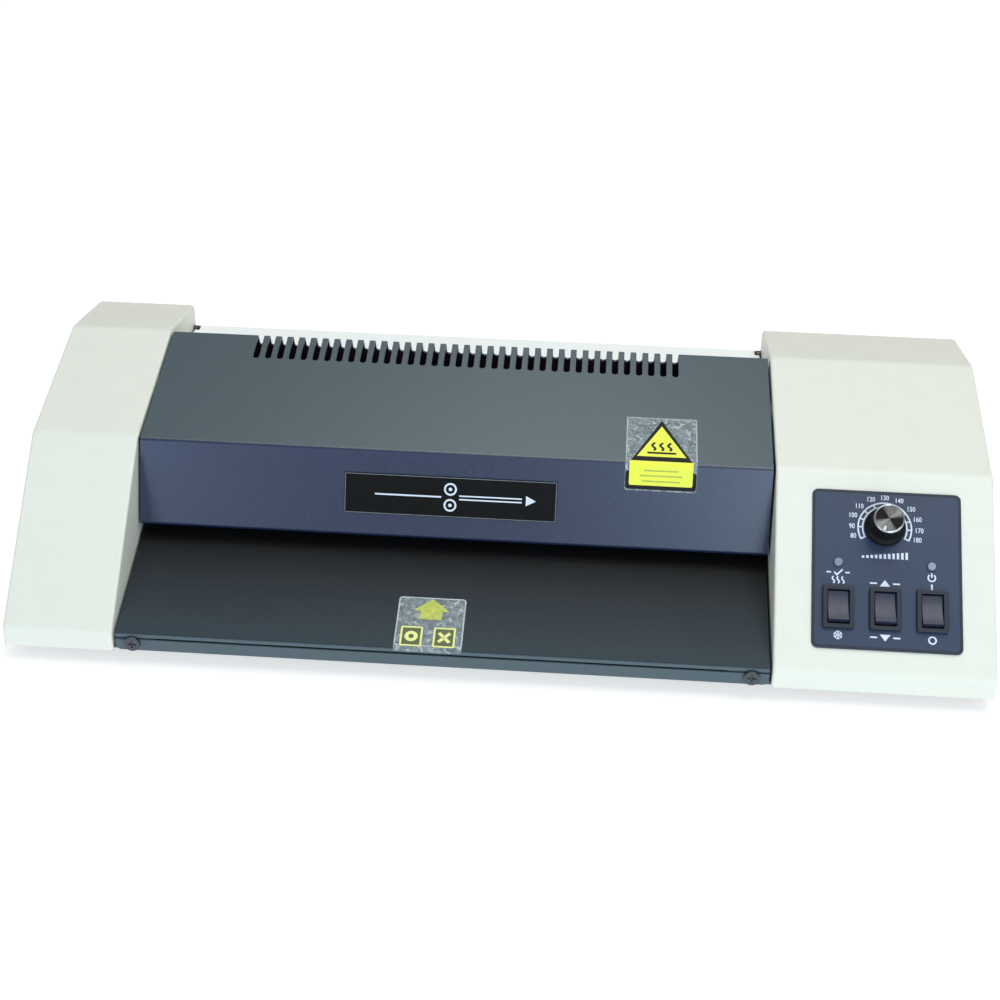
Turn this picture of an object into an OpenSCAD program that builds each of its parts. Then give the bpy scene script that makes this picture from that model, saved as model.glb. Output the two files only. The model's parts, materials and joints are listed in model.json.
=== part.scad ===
// Desktop pouch laminator for sheets up to 320 mm wide: four geared rollers, two of them pairs
// with heater shoes, between two moulded end caps.
// Frame: X = 0 at mid width, Y = 0 at mid depth, Z = 0 under the feet, front towards -Y.
// Sub-parts are drawn in body coordinates, where Y runs back from the front edge and Z runs up
// from the underside of the body. place() moves them into the frame.

/* [Body] */
// Overall width over both end caps
body_w = 480; // [474:1:490]
// Depth from the front of the end caps to the rear panel
body_d = 222; // [221:1:226]
// Height of the rubber feet
foot_h = 7.5; // [6:0.5:9]
// Width of the left end cap
left_cap_w = 54; // [50:1:60]
// Width of the right end cap, which holds the controls and the drive
right_cap_w = 106; // [104:1:112]
// Wall of the moulded end caps
cap_wall = 2.4; // [2:0.1:2.6]
// Thickness of the bent steel covers
sheet_t = 1.2; // [1:0.1:1.4]

/* [End cap outline] */
// Height of the upright front face of an end cap
front_h = 10.5; // [9:0.5:12]
// Angle of the front slope that carries the control panel, in degrees
slope_angle = 40.4; // [39:0.1:41]
// Distance of the bend between front slope and top from the front
bend_y = 78; // [77:0.5:80]
// Distance of the crest from the front
crest_y = 165; // [162:1:168]
// Height of the crest above the underside of the body
crest_z = 95.5; // [94:0.5:98]
// Height of the rear top edge of an end cap
rear_z = 84; // [82:0.5:86]

/* [Feed path] */
// Height of the feed tray at its front edge
tray_z = 8.8; // [8.6:0.1:9]
// Rise of the feed tray per millimetre of depth
tray_rise = 0.272; // [0.266:0.002:0.276]
// Distance of the throat from the front
throat_y = 63.4; // [63:0.1:64]
// Height of the throat's upper edge
throat_z = 31.8; // [31.6:0.1:32.4]
// Height of the exit slot's lower edge
exit_z = 33; // [32:0.5:34]

/* [Vents] */
// Number of slots along the crest of the cover
vent_count = 36; // [20:1:40]
// Distance between slots
vent_pitch = 6.33; // [6:0.01:7]
// Width of one slot
vent_w = 3.2; // [2.5:0.1:3.6]
// Front end of the slots, from the front of the body
vent_front = 145.5; // [140:0.5:150]
// How far the slots run down behind the crest
vent_drop = 8.8; // [6:0.1:12]

/* [Rollers and gears] */
// Diameter of the steel roller cores
core_d = 16; // [14:0.5:18]
// Diameter of the roller journals
journal_d = 10; // [9:0.5:10]
// Distance of the hot rollers from the front
hot_y = 100; // [99:0.5:101]
// Height of the lower roller axes
lower_z = 24; // [24:0.5:25]
// Face width of the gears
gear_w = 8; // [6:0.5:8.5]

/* [Controls] */
// Width of the control panel
panel_w = 72; // [70:0.5:74]
// Length of the control panel along the slope
panel_l = 80.6; // [80:0.2:82]
// Distance of the panel's lower edge up the slope
panel_s = 11.9; // [11:0.1:12.5]
// Distance between the columns of controls
column_pitch = 22.4; // [22:0.1:23]
// Distance of the rocker switches up the slope
switch_s = 32.4; // [31:0.1:34]
// Distance of the lamps up the slope
lamp_s = 55; // [53:0.5:57]
// Distance of the knob axis up the slope
knob_s = 74; // [72:0.5:76]

/* [Hidden] */

$fn = 48;
eps = 0.01;
over = 1;                 // how far a cutter passes beyond what it cuts
gap = 1.1;                // gap between a cover and an end cap
play = 0.4;               // clearance of a part that is let into a cut-out
fit = 0.05;               // radial clearance of a running fit
arc_steps = 6;            // straight steps in a rounded corner

// places across the width
x_left = -body_w / 2;
x_right = body_w / 2;
x_lc = x_left + left_cap_w;       // inner face of the left end cap
x_rc = x_right - right_cap_w;     // inner face of the right end cap
throat_mid = (x_lc + x_rc) / 2;
cover_x0 = x_lc + gap;
cover_x1 = x_rc - gap;

// outline of an end cap, seen from the side
bend_z = front_h + bend_y * tan(slope_angle);
function cap_corners(bottom) = [[0, bottom], [0, front_h], [bend_y, bend_z],
    [crest_y, crest_z], [body_d, rear_z], [body_d, bottom]];
cap_radii = [0, 4, 10, 12, 4, 0];
window_y = [80, 182];             // opening in a cap's inner wall for the roller unit
window_top = 74.4;

// top cover
cover_drop = 0.9;                 // the cover lies this much below the cap outline
face_top = [bend_y, bend_z - cover_drop];
crest = [crest_y, crest_z - cover_drop];
cover_rear_angle = 60;            // slope down behind the crest
cover_tail = 15;                  // flange of the cover under the rear deck
// the rear panel bends forward into a deck that rises gently to the foot of the cover
rear_h = 71.5;                    // height of the rear panel
deck_slope = 5;
function on_deck(y) = [y, rear_h + (body_d - y) * tan(deck_slope)];
function under_deck(y) = on_deck(y) - [0, sheet_t + 0.1];
cover_foot = under_deck(crest.x + (crest.y - under_deck(crest.x).y)
    / (tan(cover_rear_angle) - tan(deck_slope)));
deck_y = cover_foot.x + 1.5;      // front edge of the deck
deck_screw_y = cover_foot.x + 9;
guide_run = 18;                   // depth of the flange that guides a sheet into the rollers
guide_rise = 6.2;
cover_path = [[throat_y + guide_run, throat_z + guide_rise], [throat_y, throat_z], face_top,
    crest, cover_foot, under_deck(cover_foot.x + cover_tail)];
sheet_r = 2;                      // outer radius of a sheet bend
face_angle = atan2(face_top.y - throat_z, face_top.x - throat_y);

// base and rear
pan_t = 1.5;
pan_inset = cap_wall + 0.2;
flange_y = 1.6;                   // front face of the base pan's front flange
flange_h = 6.3;
flange_r = 3;
pan_rear_h = 12;
rear_back_y = body_d - sheet_t - 0.1; // rear flange of the base pan
rear_notch = [2.4, 7.5];          // width and depth of the deck's corner notches
exit_h = 8.5;                     // height of the exit slot
exit_end = 8;                     // distance of the exit slot's end from the cap

// feed tray
tray_y0 = 2;                      // front face of the tray's lip
tray_lip = 7.1;                   // bottom of the lip
tray_y1 = 84;                     // inner edge
tray_bend_r = 1.8;
ear_w = 20;                       // ears behind the front flange
function on_tray(y) = [y, tray_z + tray_rise * y];
front_screw_z = 4.4;
front_screw_in = 9.6;             // distance of a front screw from the cap

// sheet guides between and behind the rollers
guide_t = 1;
guide_r = 1.6;
transfer_path = [[116, 33], [121, 36], [139, 36], [144, 33]];
exit_path = [[175.5, exit_z - 1.5], [182, exit_z + 1.2], [body_d, exit_z + 1.2]];

// nameplate and stickers
nameplate_size = [107, 20.8, 0.8];
nameplate_x = throat_mid - 1;
nameplate_up = 24.3;              // from the throat, up the face
label_t = 0.15;
cover_label_x = [x_lc + 245.6, x_lc + 281.4];
cover_label_down = 14.2;          // from the bend of the cover, down the face
cover_label_back = 35;            // from the bend, along the top
feed_label_x = [x_lc + 137.3, x_lc + 170.8];
feed_label_z = 7.9;               // lower edge, on the tray's lip
feed_label_y = 31.5;              // rear edge, on the tray

// rollers and gears
gear_m = 1;                       // gear module
roller_teeth = 26;
idler_teeth = 34;                 // idler between the lower rollers
pinion_teeth = 17;
roller_pitch = gear_m * roller_teeth;  // also the distance between a pair's axes
pressure_angle = 20;
backlash = 0.2;
flank_steps = 4;
up = 90;                          // angles of a gear's first tooth
down = 270;
pitch_r = roller_pitch / 2;
sleeve_r = pitch_r - 0.1;
core_r = core_d / 2;
journal_r = journal_d / 2;
upper_z = lower_z + roller_pitch;
idler_r = gear_m * idler_teeth / 2;
pinion_r = gear_m * pinion_teeth / 2;
idler_y = hot_y + pitch_r + idler_r;
cold_y = idler_y + idler_r + pitch_r;
pinion_z = lower_z + idler_r + pinion_r;
sleeve_x = [x_lc - 2, x_rc + 2];
frame_t = 2;
frame_gap = 6;                    // from a cap's inner face to the side frame
lf_x = x_lc - frame_gap - frame_t;    // outer face of the left frame
rf_x = x_rc + frame_gap;              // inner face of the right frame
shoulder_x = [lf_x + frame_t + 2.1, rf_x - 2.1];
journal_x = [lf_x - 5, rf_x + 15];
gear_x = rf_x + 5.5;

// side frames
frame_y = [78, 182];
frame_z = [pan_t + 0.1, 72];
frame_foot = 10;
slot_w = 16.2;
slot_z = 40;
bush_r = 8;
bush_flange_r = 10;
bush_flange_t = 2;
block_z = [41.5, 59];             // heights of a bearing block's bottom and top
block_w = 16;
block_flange_w = 20;
plate_z = [69, 74];               // spring plates
plate_y = [84, 176];
plate_half = 4;
spring_turns = 4;
spring_r = 2.5;
wire_r = 0.5;
spring_steps = 12;                // points in one turn
coil_sides = 6;
bar_r = 3;
bar_spots = [[130, 64], [130, 8], [178, 64]];

// heater shoes
shoe_r = [14.8, 18.5];
shoe_half_angle = 65;
shoe_x = [x_lc + 4, x_rc - 4];
rod_r = 3;
rod_wall = 1.6;
rod_reach = 19;                   // from the roller axis to the heating rod
rod_angle = 45;
shoe_pad = 1.5;
shoe_top = upper_z + shoe_r[1] + shoe_pad;

// drive
bracket_x = rf_x + 18;            // inner face of the motor bracket
bracket_y = [80, 182];
bracket_top = 74;
bracket_foot = 12;
idler_pin_r = 4;
idler_collar_r = 6;
washer_r = 5.5;
motor_centre = [idler_y, 38];
motor_r = 30;
gearbox_l = 18;
motor_l = 22;
ear_reach = 35;
output_r = 3.5;
post_spots = [[86, 65.8], [176, 44]];
post_r = 3;

// controls, in slope coordinates: X across, Y up the slope, Z out of it
panel_x = x_right - 52.25;        // middle of the panel
panel_t = 0.8;
column_x = [for (i = [-1 : 1]) panel_x - 0.95 + i * column_pitch];
bezel = [15, 21, 2];
rocker_gap = [10.5, 17];          // opening in the bezel
switch_body = [12.8, 18.8];
switch_depth = 18;
rocker_half = 7.7;
rocker_w = 10;
rocker_tilt = 12;                 // half of a rocker's travel, in degrees
rocker_pin_r = 1;
rocker_top = [3, 1.7];            // height of its top at the ends and over the pivot
rocker_steps = 8;
rocker_foot = [3, -5];            // half width and depth of its lower end
rocker_shoulder = -3;
shaft_r = 3;
shaft_bush_r = 3.5;
knob_r = [9.75, 7.75];
knob_h = 14;
knob_z = 1.3;
knob_socket = [6.4, 3];           // radius and depth of the hollow over the shaft's nut
knob_mark = [1, 2, 0.4];          // width, length and depth
knob_dial_angle = 157;            // the mark's angle from the top of the dial, at the low stop
lamp_r = 2.15;

// board, inlet, feet and screws
board_x = x_right - 14;
board_y = [100, 190];
board_z = [12, 72];
board_t = 1.6;
board_hole_in = 6;
// transformer, relay and terminal strip: opposite corners, from the middle of the board's face
board_parts = [[[-16, -26, 22], [0, -6, 44]], [[-12, 4, 24], [0, 20, 38]], [[-7, -24, 58], [0, -4, 66]]];
inlet_x = x_right - 40;
inlet_z = 32;
inlet_cut = [27.4, 20];
inlet_flange = [31, 24];
foot_x = 200;
foot_y = [30, 192];
foot_r = 11;
screw_r = 1.5;
screw_hole_r = 1.55;
boss_r = 3.8;
boss_h = 16;
cap_boss_spots = [[x_left + 7, 20], [x_left + 7, 202], [x_lc - 7, 50],
    [x_right - 7, 20], [x_right - 7, 202], [x_rc + 7, 50]];
frame_screw_y = [90, 170];
rear_screw_x = [x_lc + 20, throat_mid, x_rc - 20];
rear_proud = 1.8;                 // the inlet's flange and the rear screw heads stand out this far
corner_screw = [216.8, 70.3];

// wiring
wire_d = 2.4;
wire_sides = 8;
wire_bend = 6;                    // length of lead taken up by each half of a bend
bend_steps = 4;
wire_up = [0.31, -0.52, 0.8];     // a direction that no lead runs in
strip_x = board_x - 7;
strip_y = (board_y[0] + board_y[1]) / 2 - 14;
strip_z = 62;
tail = 28.5;                      // depth of a lead's start behind a switch
tail_y = switch_s * cos(slope_angle) + tail * sin(slope_angle);
tail_z = front_h + switch_s * sin(slope_angle) - tail * cos(slope_angle);
motor_end = bracket_x + frame_t + gearbox_l + motor_l + 3;

// ---- outlines ----

function unit(v) = v / norm(v);

// points of an arc of radius r that rounds the corner b between a and c
function fillet(a, b, c, r, n = arc_steps) =
    let (u = unit(a - b), v = unit(c - b), half = acos(u * v) / 2,
         m = b + unit(u + v) * r / sin(half), p = b + u * r / tan(half), q = b + v * r / tan(half),
         a0 = atan2(p.y - m.y, p.x - m.x), a1 = atan2(q.y - m.y, q.x - m.x),
         turn = a1 - a0 > 180 ? a1 - a0 - 360 : a1 - a0 < -180 ? a1 - a0 + 360 : a1 - a0)
    [for (i = [0 : n]) m + r * [cos(a0 + turn * i / n), sin(a0 + turn * i / n)]];

function rounded(pts, radii) = let (k = len(pts)) [for (i = [0 : k - 1])
    each radii[i] > 0 ? fillet(pts[(i + k - 1) % k], pts[i], pts[(i + 1) % k], radii[i]) : [pts[i]]];

// a convex outline moved inwards by t
function inset(pts, t) = let (k = len(pts)) [for (i = [0 : k - 1])
    let (b = pts[i], u = unit(pts[(i + k - 1) % k] - b), v = unit(pts[(i + 1) % k] - b))
    b + unit(u + v) * t / sin(acos(u * v) / 2)];

// a path moved to its right-hand side by t
function right_of(a, b) = let (u = unit(b - a)) [u.y, -u.x];
function shifted(pts, t) = let (k = len(pts) - 1) [for (i = [0 : k])
    let (n1 = right_of(pts[max(i - 1, 0)], pts[max(i, 1)]),
         n2 = right_of(pts[min(i, k - 1)], pts[min(i + 1, k)]))
    pts[i] + (n1 + n2) * t / (1 + n1 * n2)];
function bent(pts, r, t = 0) = let (k = len(pts) - 1) [pts[0],
    for (i = [1 : k - 1]) let (turn = sign(cross(pts[i] - pts[i - 1], pts[i + 1] - pts[i])))
        each fillet(pts[i - 1], pts[i], pts[i + 1], r + t * turn),
    pts[k]];
function reversed(pts) = [for (i = [len(pts) - 1 : -1 : 0]) pts[i]];

// section of a bent sheet of thickness t, on the right-hand side of its path
function sheet(pts, t, r = sheet_r) = concat(bent(pts, r), reversed(bent(shifted(pts, t), r, t)));

function box_points(w, h) = [[-w / 2, -h / 2], [w / 2, -h / 2], [w / 2, h / 2], [-w / 2, h / 2]];

// ---- helpers ----

module place() translate([0, -(body_d + rear_proud) / 2, foot_h]) children();

// extrudes an outline drawn in Y and Z along X
module along_x(x0, x1) translate([x0, 0, 0]) rotate([90, 0, 90]) linear_extrude(x1 - x0) children();

// puts a shape drawn along +Z on an axis along +X, starting at x0
module axis_x(x0, y, z) translate([x0, y, z]) rotate([0, 90, 0]) children();

module block(from, to) translate(from) cube(to - from);

module round_box(w, l, h, r) linear_extrude(h) polygon(rounded(box_points(w, l), [r, r, r, r]));

module on_slope(x, s)
    translate([x, s * cos(slope_angle), front_h + s * sin(slope_angle)])
        rotate([slope_angle, 0, 0]) children();

module ring(r_out, r_in, h) difference() {
    cylinder(r = r_out, h = h);
    translate([0, 0, -over]) cylinder(r = r_in, h = h + 2 * over);
}

// pan-head screw along -Z from the seat at Z = 0, with a cross recess in its head
module screw(length, head_r = 3, head_h = 1.8) difference() {
    union() {
        cylinder(r = head_r, h = head_h);
        translate([0, 0, -length]) cylinder(r = screw_r, h = length + eps);
    }
    for (a = [0, 90]) rotate(a)
        translate([-head_r * 0.55, -0.35, head_h * 0.45]) cube([head_r * 1.1, 0.7, head_h]);
}

// ---- casing ----

module cap_shell(x0, x1) difference() {
    along_x(x0, x1) polygon(rounded(cap_corners(0), cap_radii));
    along_x(x0 + cap_wall, x1 - cap_wall)
        polygon(inset(cap_corners(-cap_wall - over), cap_wall));
}

// opening for the roller unit and slot for the base pan in the inner wall at wall_x
module inner_wall_cuts(wall_x) {
    block([wall_x - over, window_y[0], -over], [wall_x + cap_wall + over, window_y[1], window_top]);
    block([wall_x - over, pan_inset - 0.2, -over],
        [wall_x + cap_wall + over, body_d - pan_inset + 0.2, pan_t + 0.1]);
    axis_x(wall_x - over, corner_screw.x, corner_screw.y)
        cylinder(r = screw_hole_r, h = cap_wall + 2 * over);
}

module cap_boss(spot, wall_x) difference() {
    union() {
        translate([spot.x, spot.y, pan_t + 0.1]) cylinder(r = boss_r, h = boss_h);
        block([min(spot.x, wall_x), spot.y - 1, pan_t + 0.1],
            [max(spot.x, wall_x), spot.y + 1, pan_t + boss_h]);
    }
    translate([spot.x, spot.y, 0]) cylinder(r = screw_hole_r, h = boss_h - 2);
}

module left_end_cap() color("#e3e9e1") place() {
    difference() {
        cap_shell(x_left, x_lc);
        inner_wall_cuts(x_lc - cap_wall);
    }
    for (i = [0, 1]) cap_boss(cap_boss_spots[i], x_left + 1);
    cap_boss(cap_boss_spots[2], x_lc - 1);
}

module board_post(y, z) axis_x(board_x + board_t, y, z) difference() {
    cylinder(r = 3.2, h = x_right - 1 - board_x - board_t);
    translate([0, 0, -over]) cylinder(r = screw_hole_r, h = 8 + over);
}

module board_corners() for (y = [board_y[0] + board_hole_in, board_y[1] - board_hole_in],
    z = [board_z[0] + board_hole_in, board_z[1] - board_hole_in]) translate([0, y, z]) children();

module right_end_cap() color("#e3e9e1") place() {
    difference() {
        cap_shell(x_rc, x_right);
        inner_wall_cuts(x_rc);
        for (x = column_x) on_slope(x, switch_s)
            translate([0, 0, -cap_wall - over]) linear_extrude(cap_wall + 2 * over)
                square(switch_body + [play, play], center = true);
        for (x = [column_x[0], column_x[2]]) on_slope(x, lamp_s)
            translate([0, 0, -cap_wall - over]) cylinder(r = lamp_r + 0.1, h = cap_wall + 2 * over);
        on_slope(column_x[1], knob_s)
            translate([0, 0, -cap_wall - over]) cylinder(r = shaft_bush_r + 0.2, h = cap_wall + 2 * over);
        translate([inlet_x, body_d + over, inlet_z]) rotate([90, 0, 0])
            linear_extrude(cap_wall + 2 * over) square(inlet_cut + [play, play], center = true);
    }
    for (i = [3, 4]) cap_boss(cap_boss_spots[i], x_right - 1);
    cap_boss(cap_boss_spots[5], x_rc + 1);
    board_corners() board_post(0, 0);
}

module vent_cutters() for (i = [0 : vent_count - 1])
    translate([throat_mid - 0.5 + (i - (vent_count - 1) / 2) * vent_pitch, 0, 0]) {
        translate([0, vent_front + vent_w / 2, window_top])
            cylinder(r = vent_w / 2, h = crest_z - window_top);
        block([-vent_w / 2, vent_front + vent_w / 2, window_top], [vent_w / 2, crest.x, crest_z + over]);
        translate([0, crest.x, crest.y]) rotate([-cover_rear_angle, 0, 0])
            translate([0, 0, -3 * sheet_t]) linear_extrude(6 * sheet_t) {
                translate([-vent_w / 2, 0]) square([vent_w, vent_drop - vent_w / 2]);
                translate([0, vent_drop - vent_w / 2]) circle(r = vent_w / 2);
            }
    }

module top_cover() color("#56686e") place() difference() {
    along_x(cover_x0, cover_x1) polygon(sheet(cover_path, sheet_t));
    vent_cutters();
    at_deck_screws() cylinder(r = screw_hole_r, h = 8 * sheet_t, center = true);
}

module at_deck_screws() for (x = rear_screw_x)
    translate([x, deck_screw_y, on_deck(deck_screw_y).y]) rotate([-deck_slope, 0, 0]) children();

module rear_panel() color("#dfe6df") place() difference() {
    along_x(cover_x0, cover_x1)
        polygon(sheet([[body_d, pan_t], [body_d, rear_h], on_deck(deck_y)], -sheet_t));
    for (x = [[cover_x0 - over, cover_x0 + rear_notch.x], [cover_x1 - rear_notch.x, cover_x1 + over]])
        block([x[0], body_d - rear_notch.y - over, rear_h - 2 * sheet_r],
            [x[1], body_d - sheet_t - over, rear_h + over]);
    block([cover_x0 + exit_end, body_d - 2 * over, exit_z],
        [cover_x1 - exit_end, body_d + over, exit_z + exit_h]);
    for (x = rear_screw_x) translate([x, body_d + over, pan_rear_h / 2])
        rotate([90, 0, 0]) cylinder(r = screw_hole_r, h = 4 * sheet_t);
    at_deck_screws() cylinder(r = screw_hole_r, h = 8 * sheet_t, center = true);
}

module base_pan() color("#5d6f7a") place() difference() {
    union() {
        block([x_left + pan_inset, pan_inset, 0], [x_right - pan_inset, body_d - pan_inset, pan_t]);
        translate([throat_mid, flange_y + sheet_t, flange_h / 2]) rotate([90, 0, 0])
            linear_extrude(sheet_t) polygon(rounded(
                box_points(cover_x1 - cover_x0, flange_h), [flange_r, flange_r, 0, 0]));
        block([cover_x0, body_d - pan_inset - over, 0], [cover_x1, rear_back_y, pan_t]);
        block([cover_x0, rear_back_y - sheet_t, 0], [cover_x1, rear_back_y, pan_rear_h]);
    }
    for (x = [x_lc + front_screw_in, x_rc - front_screw_in])
        translate([x, flange_y + sheet_t + over, front_screw_z])
            rotate([90, 0, 0]) cylinder(r = screw_hole_r, h = sheet_t + 2 * over);
    for (x = rear_screw_x) translate([x, body_d, pan_rear_h / 2])
        rotate([90, 0, 0]) cylinder(r = screw_hole_r, h = 4 * sheet_t);
    for (spot = concat(cap_boss_spots, floor_screw_spots(), foot_spots()))
        translate([spot.x, spot.y, -over]) cylinder(r = screw_hole_r, h = pan_t + 2 * over);
}

function foot_spots() = [for (x = [-foot_x, foot_x], y = foot_y) [x, y]];
function floor_screw_spots() = concat(
    [for (x = [lf_x - frame_foot / 2, rf_x + frame_t + frame_foot / 2], y = frame_screw_y) [x, y]],
    [for (y = [bracket_y[0] + 10, bracket_y[1] - 10]) [bracket_x + frame_t + bracket_foot / 2, y]]);

module feed_tray() color("#3c4850") place() difference() {
    union() {
        along_x(cover_x0, cover_x1) polygon(sheet(
            [[tray_y0, tray_lip], on_tray(tray_y0), on_tray(tray_y1)], sheet_t, tray_bend_r));
        for (x = [cover_x0, cover_x1 - ear_w])
            block([x, flange_y + sheet_t + 0.1, pan_t + 0.2],
                [x + ear_w, flange_y + 2 * sheet_t + 0.1, tray_z]);
    }
    for (x = [x_lc + front_screw_in, x_rc - front_screw_in])
        translate([x, 3 * sheet_t + flange_y, front_screw_z])
            rotate([90, 0, 0]) cylinder(r = screw_hole_r, h = 4 * sheet_t);
}

module transfer_guide() color("silver") place()
    along_x(lf_x + frame_t + 0.1, rf_x - 0.1)
        polygon(sheet(transfer_path, guide_t, guide_r));

module exit_guide() color("silver") place()
    along_x(cover_x0 + exit_end + play, cover_x1 - exit_end - play)
        polygon(sheet(exit_path, guide_t, guide_r));

// plate lying on the front face of the cover, t up the face
module on_face(x, t)
    translate([x, throat_y + t * cos(face_angle), throat_z + t * sin(face_angle)])
        rotate([face_angle, 0, 0]) children();

module nameplate() color("#101214") place() on_face(nameplate_x, nameplate_up)
    round_box(nameplate_size.x, nameplate_size.y, nameplate_size.z, 0.8);

// clear stickers: one over the bend of the cover, one round the front edge of the feed tray
module labels() color("#e8ea60") place() {
    down = unit([throat_y, throat_z] - face_top);
    back = unit(crest - face_top);
    along_x(cover_label_x[0], cover_label_x[1]) polygon(sheet([face_top + down * cover_label_down,
        face_top, face_top + back * cover_label_back], -label_t));
    along_x(feed_label_x[0], feed_label_x[1]) polygon(sheet([[tray_y0, feed_label_z],
        on_tray(tray_y0), on_tray(feed_label_y)], -label_t, tray_bend_r));
}

// ---- controls ----

module control_panel() color("#3a4a66") place() difference() {
    on_slope(panel_x, panel_s + panel_l / 2) round_box(panel_w, panel_l, panel_t, 3);
    for (x = column_x) on_slope(x, switch_s) translate([0, 0, -over])
        linear_extrude(panel_t + 2 * over) square(switch_body + [play, play], center = true);
    for (x = [column_x[0], column_x[2]]) on_slope(x, lamp_s)
        translate([0, 0, -over]) cylinder(r = lamp_r + 0.1, h = panel_t + 2 * over);
    on_slope(column_x[1], knob_s) translate([0, 0, -over]) cylinder(r = shaft_bush_r + 0.2, h = panel_t + 2 * over);
}

module rocker_switch_body(x) color("#15171a") place() on_slope(x, switch_s) {
    difference() {
        union() {
            translate([0, 0, panel_t]) round_box(bezel.x, bezel.y, bezel.z, 0.8);
            translate([0, 0, -switch_depth]) linear_extrude(switch_depth + panel_t + eps)
                square(switch_body, center = true);
        }
        translate([0, 0, -8]) linear_extrude(8 + panel_t + bezel.z + over)
            square(rocker_gap, center = true);
        translate([-rocker_gap.x / 2 - 0.9, 0, 0]) rotate([0, 90, 0])
            cylinder(r = rocker_pin_r + fit, h = rocker_gap.x + 1.8);
    }
    for (s = [-6, 0, 6]) translate([-2.4, s - 0.4, -switch_depth - 8])
        cube([4.8, 0.8, 8 + eps]);
}

module heat_switch_body() rocker_switch_body(column_x[0]);
module direction_switch_body() rocker_switch_body(column_x[1]);
module power_switch_body() rocker_switch_body(column_x[2]);

// rocker with its upper half pressed: its top is hollow along the tilt
module rocker(x) color("#26282c") place() on_slope(x, switch_s) rotate([-rocker_tilt, 0, 0]) {
    along_x(-rocker_w / 2, rocker_w / 2) polygon([[-rocker_half, rocker_shoulder],
        [-rocker_foot.x, rocker_foot.y], rocker_foot, [rocker_half, rocker_shoulder],
        for (i = [0 : rocker_steps]) let (t = 1 - 2 * i / rocker_steps)
            [t * rocker_half, rocker_top[1] + (rocker_top[0] - rocker_top[1]) * t ^ 2]]);
    axis_x(-rocker_w / 2 - 0.9, 0, 0) cylinder(r = rocker_pin_r, h = rocker_w + 1.8);
}

module heat_rocker() rocker(column_x[0]);
module direction_rocker() rocker(column_x[1]);
module power_rocker() rocker(column_x[2]);

module temperature_knob() color("#1b1d20") place() on_slope(column_x[1], knob_s) difference() {
    translate([0, 0, knob_z]) rotate_extrude(convexity = 4) polygon([[0, 0], [knob_r[0], 0],
        [knob_r[0], 2], [knob_r[0] - 0.6, 3], [knob_r[1], 4], [knob_r[1] - 0.3, knob_h - 0.7],
        [knob_r[1] - 1, knob_h], [0, knob_h]]);
    translate([0, 0, knob_z - over]) cylinder(r = knob_socket[0], h = knob_socket[1] + over);
    cylinder(r = shaft_r, h = 12);
    rotate(knob_dial_angle) translate([-knob_mark.x / 2, 4.6, knob_z + knob_h - knob_mark.z])
        cube([knob_mark.x, knob_mark.y, over]);
}

module potentiometer_shaft() color("silver") place() on_slope(column_x[1], knob_s) {
    translate([0, 0, -9]) cylinder(r = shaft_r, h = 21);
    translate([0, 0, -8]) cylinder(r = 6, h = 1.5);
}

module potentiometer_body() color("#4a6f8a") place() on_slope(column_x[1], knob_s) {
    difference() {
        union() {
            translate([0, 0, -11.6]) cylinder(r = 8, h = 9);
            translate([0, 0, -2.7]) cylinder(r = shaft_bush_r, h = 6);
            translate([0, 0, panel_t]) cylinder(r = 5.6, h = 2, $fn = 6);
        }
        translate([0, 0, -10.4]) cylinder(r = 6.5, h = 6.4);
        translate([0, 0, -5]) cylinder(r = shaft_r + fit, h = 10);
    }
    for (x = [-5, 0, 5]) translate([x - 0.6, -13, -11]) cube([1.2, 6, 0.6]);
}

module lamp(x) place() on_slope(x, lamp_s) {
    translate([0, 0, -6]) cylinder(r = lamp_r, h = 6 + panel_t + 0.4);
    translate([0, 0, panel_t + 0.4]) intersection() {
        sphere(r = lamp_r);
        cylinder(r = lamp_r, h = 1);
    }
    translate([0, 0, -6]) cylinder(r = lamp_r + 0.5, h = 1.2);
}

module ready_lamp() color("#c8d4d8") lamp(column_x[0]);
module power_lamp() color("#c8d4d8") lamp(column_x[2]);

module control_board() color("#2e6b44") place() difference() {
    block([board_x, board_y[0], board_z[0]], [board_x + board_t, board_y[1], board_z[1]]);
    board_corners() axis_x(board_x - over, 0, 0) cylinder(r = screw_hole_r, h = board_t + 2 * over);
}

module board_components() color("#2b2b30") place() {
    mid_y = (board_y[0] + board_y[1]) / 2;
    for (part = board_parts) translate([board_x, mid_y, 0]) block(part[0], part[1]);
    for (y = [mid_y + 6, mid_y + 18]) axis_x(board_x - 12, y, 54) cylinder(r = 4, h = 12);
    for (i = [0 : 3]) axis_x(board_x - 4, mid_y + 28 + 2 * i, 30 + 8 * i) cylinder(r = 1.5, h = 4);
}

module inlet_socket() color("#17181b") place() translate([inlet_x, body_d, inlet_z])
    rotate([90, 0, 0]) {
        difference() {
            union() {
                translate([0, 0, -rear_proud])
                    round_box(inlet_flange.x, inlet_flange.y, rear_proud, 2);
                linear_extrude(18) square(inlet_cut, center = true);
            }
            translate([0, 0, -rear_proud - over]) linear_extrude(17) polygon(rounded(
                box_points(inlet_cut.x - 3, inlet_cut.y - 3.6), [2, 2, 5, 5]));
        }
        for (p = [[-7, -2], [7, -2], [0, 3]])
            translate([p.x - 1, p.y - 2, 0]) cube([2, 4, 24]);
    }

// ---- roller unit ----

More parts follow.
